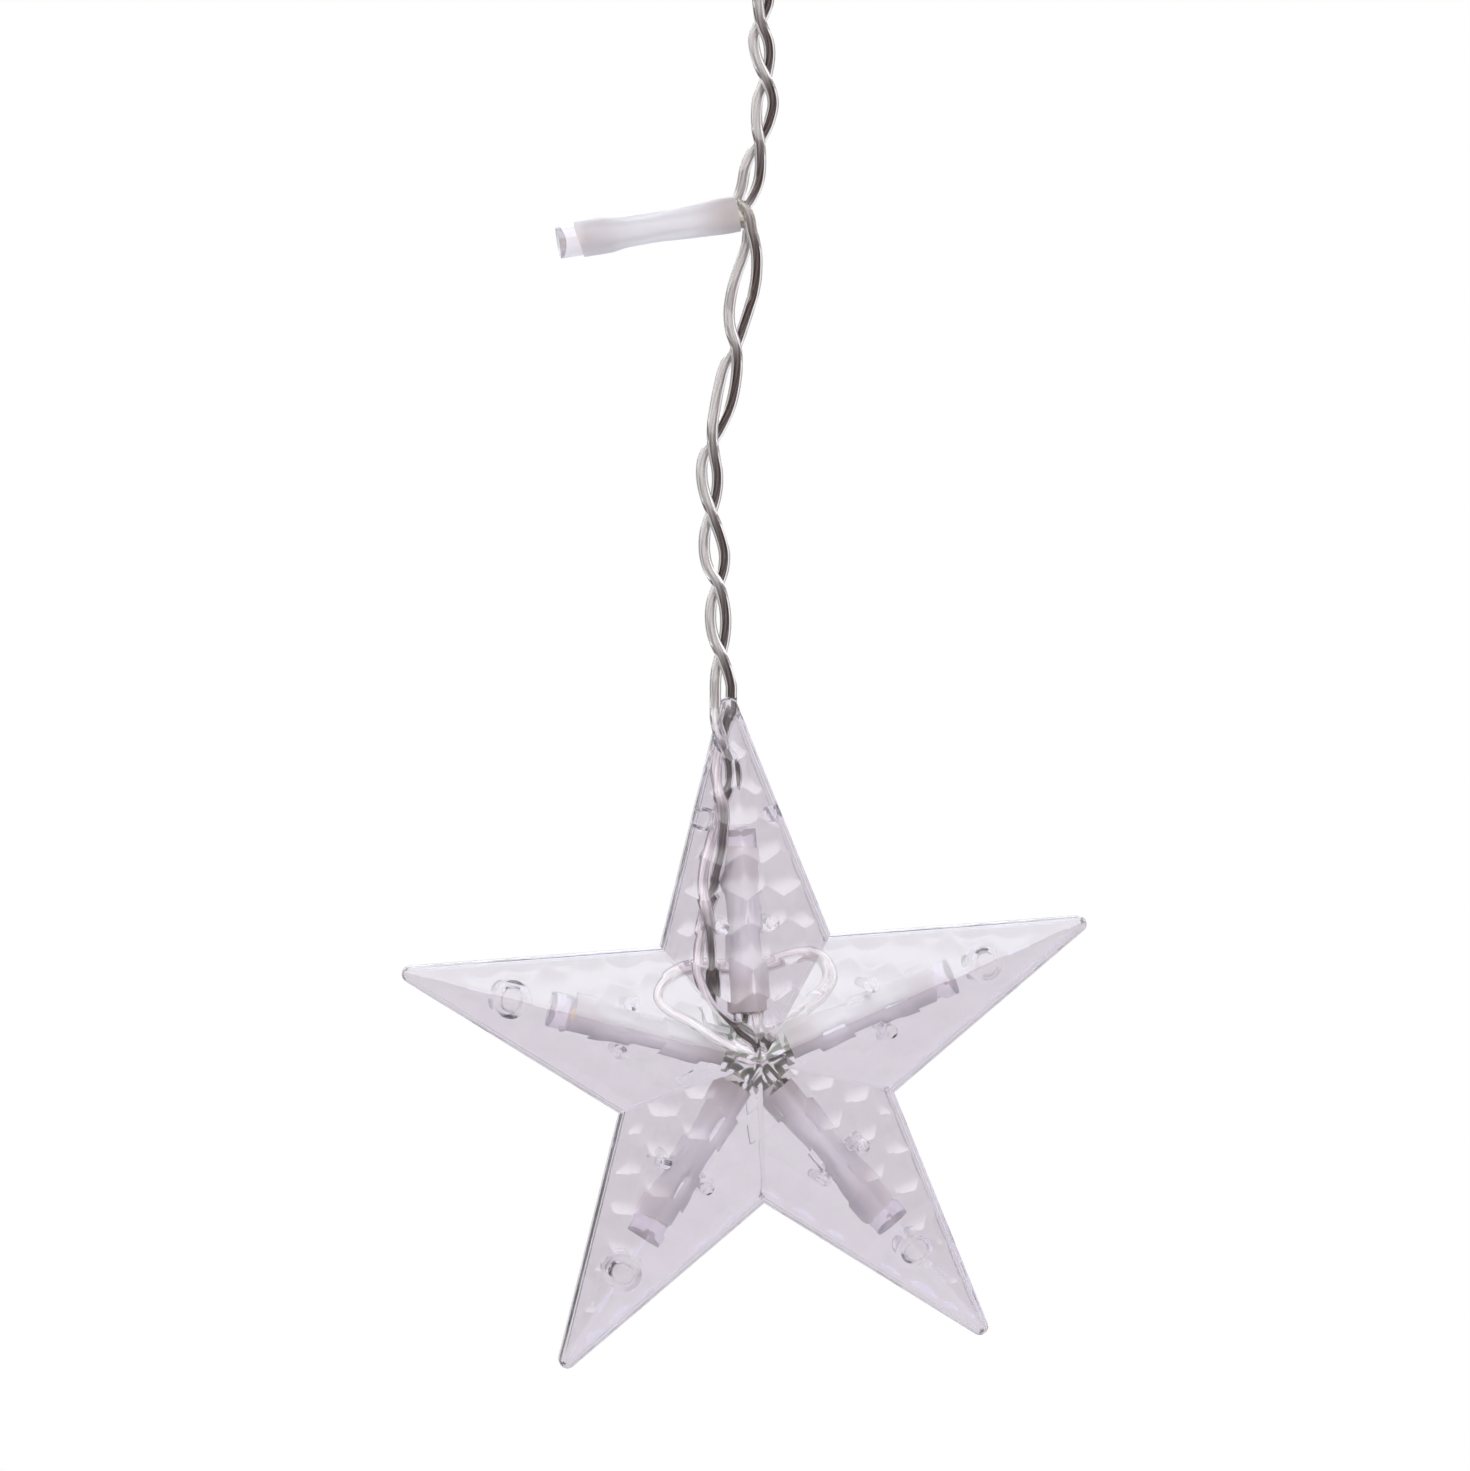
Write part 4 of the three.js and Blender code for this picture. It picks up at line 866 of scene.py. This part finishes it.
link = {
    "offset": 1.0,  # beside the lamp's middle line
    "sunk": 0.3,  # into the mouth
    "reach": 2.7,  # how far towards the star's middle the wire heads before it turns
    "rises": (-1.7, 0.1, 1.9),  # towards the viewer, so that they cross one over the other in the middle
    "tone": 0.8,  # how much of the core looks brown
    "samples": 26,
}


def buildLinks():
    # cubic curve P = (1-t)^3 A + 3 (1-t)^2 t B + 3 (1-t) t^2 C + t^3 D from one mouth to the next
    names = list(mouthPlaces)[1:]
    t = np.linspace(0, 1, link["samples"])[:, None]
    for arm, (before, after) in enumerate(zip(names[:-1], names[1:]), 1):
        ends = []
        for k, (name, side) in enumerate(((before, 1), (after, -1))):
            for inwards, rise in ((-link["sunk"], 0), (link["reach"], link["rises"][arm - 1])):
                ends.append(inStar(mouthPlaces[name] - inwards, side * link["offset"], -rise, arm + k)[0])
        a, b, d, c = ends
        path = (1 - t) ** 3 * a + 3 * (1 - t) ** 2 * t * b + 3 * (1 - t) * t ** 2 * c + t ** 3 * d
        name = f"{before}_to_{after}_link"
        piece = buildWire(f"{name}_piece", path, "star", link["tone"], kneadedPvc)
        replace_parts(piece, name)


buildLinks()
print("links laid")


# Connector

# Soft PVC moulding, milky clear: the usual plug-in joint of a light curtain.
mouldedPvc = grainedMaterial("mouldedPvc", {
    "Base Color": "#e9e6ea", "Roughness": 0.38, "IOR": 1.53, "Transmission Weight": 0.25}, 0.6 * mm, 3.0,
    bump=(0.2, 0.03 * mm))

# Silicone rubber ring, moulded: matt, faintly grey.
siliconeRubber = grainedMaterial("siliconeRubber", {"Roughness": 0.55}, 0.8 * mm, colours=("#cfcbd0", "#dedbe0"))

# Brass pins, turned: warm yellow metal with fine rings.
turnedBrass = grainedMaterial("turnedBrass", {"Metallic": 1.0, "Roughness": 0.25}, 0.3 * mm, stretch=(3, 0.2, 0.2),
                              colours=("#c39a4a", "#e0bf74"))

for node, material in (("connector_body", mouldedPvc), ("strain_relief_boot", mouldedPvc),
                       ("connector_seal_ring", siliconeRubber), ("supply_contact_pin", turnedBrass),
                       ("return_contact_pin", turnedBrass)):
    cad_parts[node].material_slots[0].material = material
print("connector finished")


# Studio: white behind and in front, a broad light high up, dim sides, pale floor

studio = {
    # Each band is where a light starts and where it is full, by the height or width that a ray's unit vector has
    "topLight": 3.8, "topBand": (0.25, 0.4),  # the broad light
    "overhead": 5.2, "overheadBand": (0.25, 0.5),  # it is stronger higher up, by height less depth,
    "zenith": 1.8, "zenithBand": (0.55, 0.95),  # and weaker again overhead
    "topTilt": -0.053,  # how much lower it reaches on the left
    "topThrough": 0.85,  # the same light as rays that come through clear parts see it
    "sides": 0.5, "sidesThrough": 0.25, "sidesBand": (0.42, 0.8),
    "below": 0.3, "belowThrough": 0.7, "belowBand": (-0.2, -0.7),
    "floorGlow": 1.25, "glowBand": (-0.5, -0.95),  # the floor's light as shiny faces mirror it, until it is gone
    "haze": 0.05, "hazeBand": (-0.2, 0.2),  # the background behind clear parts is a little lighter lower down
    "lower": 0.7, "upper": 1.3,  # even light on matt parts, straight from below and from above
    "insulatedGain": 2.3, "insideGain": 6.2,  # how much more of it gets to what lies in insulation and in the star,
    "gainDepths": (2.0, 6.0),  # told apart by how many clear faces a ray has passed
    "coolTop": "#f1f4ff", "coolBand": (0.1, 0.6),
    "mirroredTop": "#f1fcf7", "mirroredBand": (0.6, 0.9),
    "warmFloor": "#ffe4e8", "warmBand": (-0.1, -0.6),
    "floorHeight": -0.45, "floorRadius": 1.3, "floorSides": 96,
}


def buildStudio():
    world = bpy.data.worlds.new("studio")
    bpy.context.scene.world = world
    world.use_nodes = True
    tree = world.node_tree
    direction = addNode(tree, "ShaderNodeTexCoord").outputs["Generated"]
    axes = addNode(tree, "ShaderNodeSeparateXYZ", {0: direction}).outputs
    across, away, height = axes[0], axes[1], axes[2]
    rays = addNode(tree, "ShaderNodeLightPath").outputs
    through = rays["Is Transmission Ray"]
    sideways = addNode(tree, "ShaderNodeMath", {0: across}, operation="ABSOLUTE").outputs[0]
    depth = addNode(tree, "ShaderNodeMath", {0: away}, operation="ABSOLUTE").outputs[0]
    steep = addNode(tree, "ShaderNodeMath", {0: height, 1: depth}, operation="SUBTRACT").outputs[0]
    tilted = addNode(tree, "ShaderNodeMath", {0: across, 1: studio["topTilt"], 2: height},
                     operation="MULTIPLY_ADD").outputs[0]
    mirrored = addNode(tree, "ShaderNodeMath", {0: rays["Is Glossy Ray"], 1: through}, operation="MAXIMUM").outputs[0]
    inside = addNode(tree, "ShaderNodeMath", {0: rays["Diffuse Depth"], 1: through}, operation="MINIMUM").outputs[0]
    # how far a ray is into each band
    into = {}
    for name, place in (("sides", sideways), ("glow", height), ("below", height), ("overhead", steep),
                        ("zenith", steep), ("top", tilted), ("cool", height), ("mirrored", height), ("warm", height)):
        start, full = studio[f"{name}Band"]
        into[name] = addNode(tree, "ShaderNodeMapRange", {"Value": place, "From Min": start, "From Max": full},
                             interpolation_type="SMOOTHSTEP").outputs[0]
    start, end = studio["hazeBand"]
    haze = addNode(tree, "ShaderNodeMapRange", {
        "Value": height, "From Min": start, "From Max": end,
        "To Min": 1 + studio["haze"], "To Max": 1 - studio["haze"]}).outputs[0]
    # what shiny and clear parts see: a plain level with the lights laid over it
    sides = addNode(tree, "ShaderNodeMix", {0: through, 2: studio["sides"], 3: studio["sidesThrough"]}).outputs[0]
    glow = addNode(tree, "ShaderNodeMix", {0: into["glow"], 2: studio["floorGlow"], 3: studio["below"]}).outputs[0]
    below = addNode(tree, "ShaderNodeMix", {0: through, 2: glow, 3: studio["belowThrough"]}).outputs[0]
    top = studio["topLight"]
    for factor, light in ((into["overhead"], studio["overhead"]), (into["zenith"], studio["zenith"]),
                          (through, studio["topThrough"])):
        top = addNode(tree, "ShaderNodeMix", {0: factor, 2: top, 3: light}).outputs[0]
    level = 1.0
    for factor, light in ((through, haze), (into["sides"], sides), (into["below"], below), (into["top"], top)):
        level = addNode(tree, "ShaderNodeMix", {0: factor, 2: level, 3: light}).outputs[0]
    # matt parts get even light instead, and more of it inside clear ones
    even = addNode(tree, "ShaderNodeMapRange", {
        "Value": height, "From Min": -1.0, "To Min": studio["lower"], "To Max": studio["upper"]}).outputs[0]
    start, end = studio["gainDepths"]
    gain = addNode(tree, "ShaderNodeMapRange", {
        "Value": rays["Transmission Depth"], "From Min": start, "From Max": end,
        "To Min": studio["insulatedGain"], "To Max": studio["insideGain"]}).outputs[0]
    lifted = addNode(tree, "ShaderNodeMath", {0: even, 1: gain}, operation="MULTIPLY").outputs[0]
    level = addNode(tree, "ShaderNodeMix", {0: mirrored, 2: even, 3: level}).outputs[0]
    for factor, light in ((inside, lifted), (rays["Is Camera Ray"], 1.0)):
        level = addNode(tree, "ShaderNodeMix", {0: factor, 2: level, 3: light}).outputs[0]
    matt, shiny = (addNode(tree, "ShaderNodeMix", {0: into[band], 6: "#ffffff", 7: studio[tint]}, data_type="RGBA")
                   for band, tint in (("cool", "coolTop"), ("mirrored", "mirroredTop")))
    colour = matt.outputs[2]
    for factor, tint in ((mirrored, shiny.outputs[2]), (into["warm"], studio["warmFloor"]),
                         (rays["Is Camera Ray"], "#ffffff")):
        colour = addNode(tree, "ShaderNodeMix", {0: factor, 6: colour, 7: tint}, data_type="RGBA").outputs[2]
    feedSockets(tree, tree.nodes["Background"], {"Strength": level, "Color": colour})
    # painted board, matt and nearly white
    board = grainedMaterial("paleStudioFloor", {"Roughness": 0.8}, 40 * mm, colours=("#f3f3f4", "#f8f8f8"))
    corners = studio["floorSides"]
    turn = np.linspace(0, 2 * np.pi, corners, endpoint=False)
    edge = np.stack([np.cos(turn), np.sin(turn), np.zeros(corners)], 1) * studio["floorRadius"]
    floor = newPiece("studioFloor", edge + (0, 0, studio["floorHeight"]), [list(range(corners))], [board], None)


buildStudio()
bpy.context.scene.view_settings.view_transform = "Standard"
# light goes through many walls here, and is totally reflected inside them
cycles = bpy.context.scene.cycles
cycles.max_bounces, cycles.glossy_bounces, cycles.transmission_bounces = 40, 16, 32
print("studio lit")
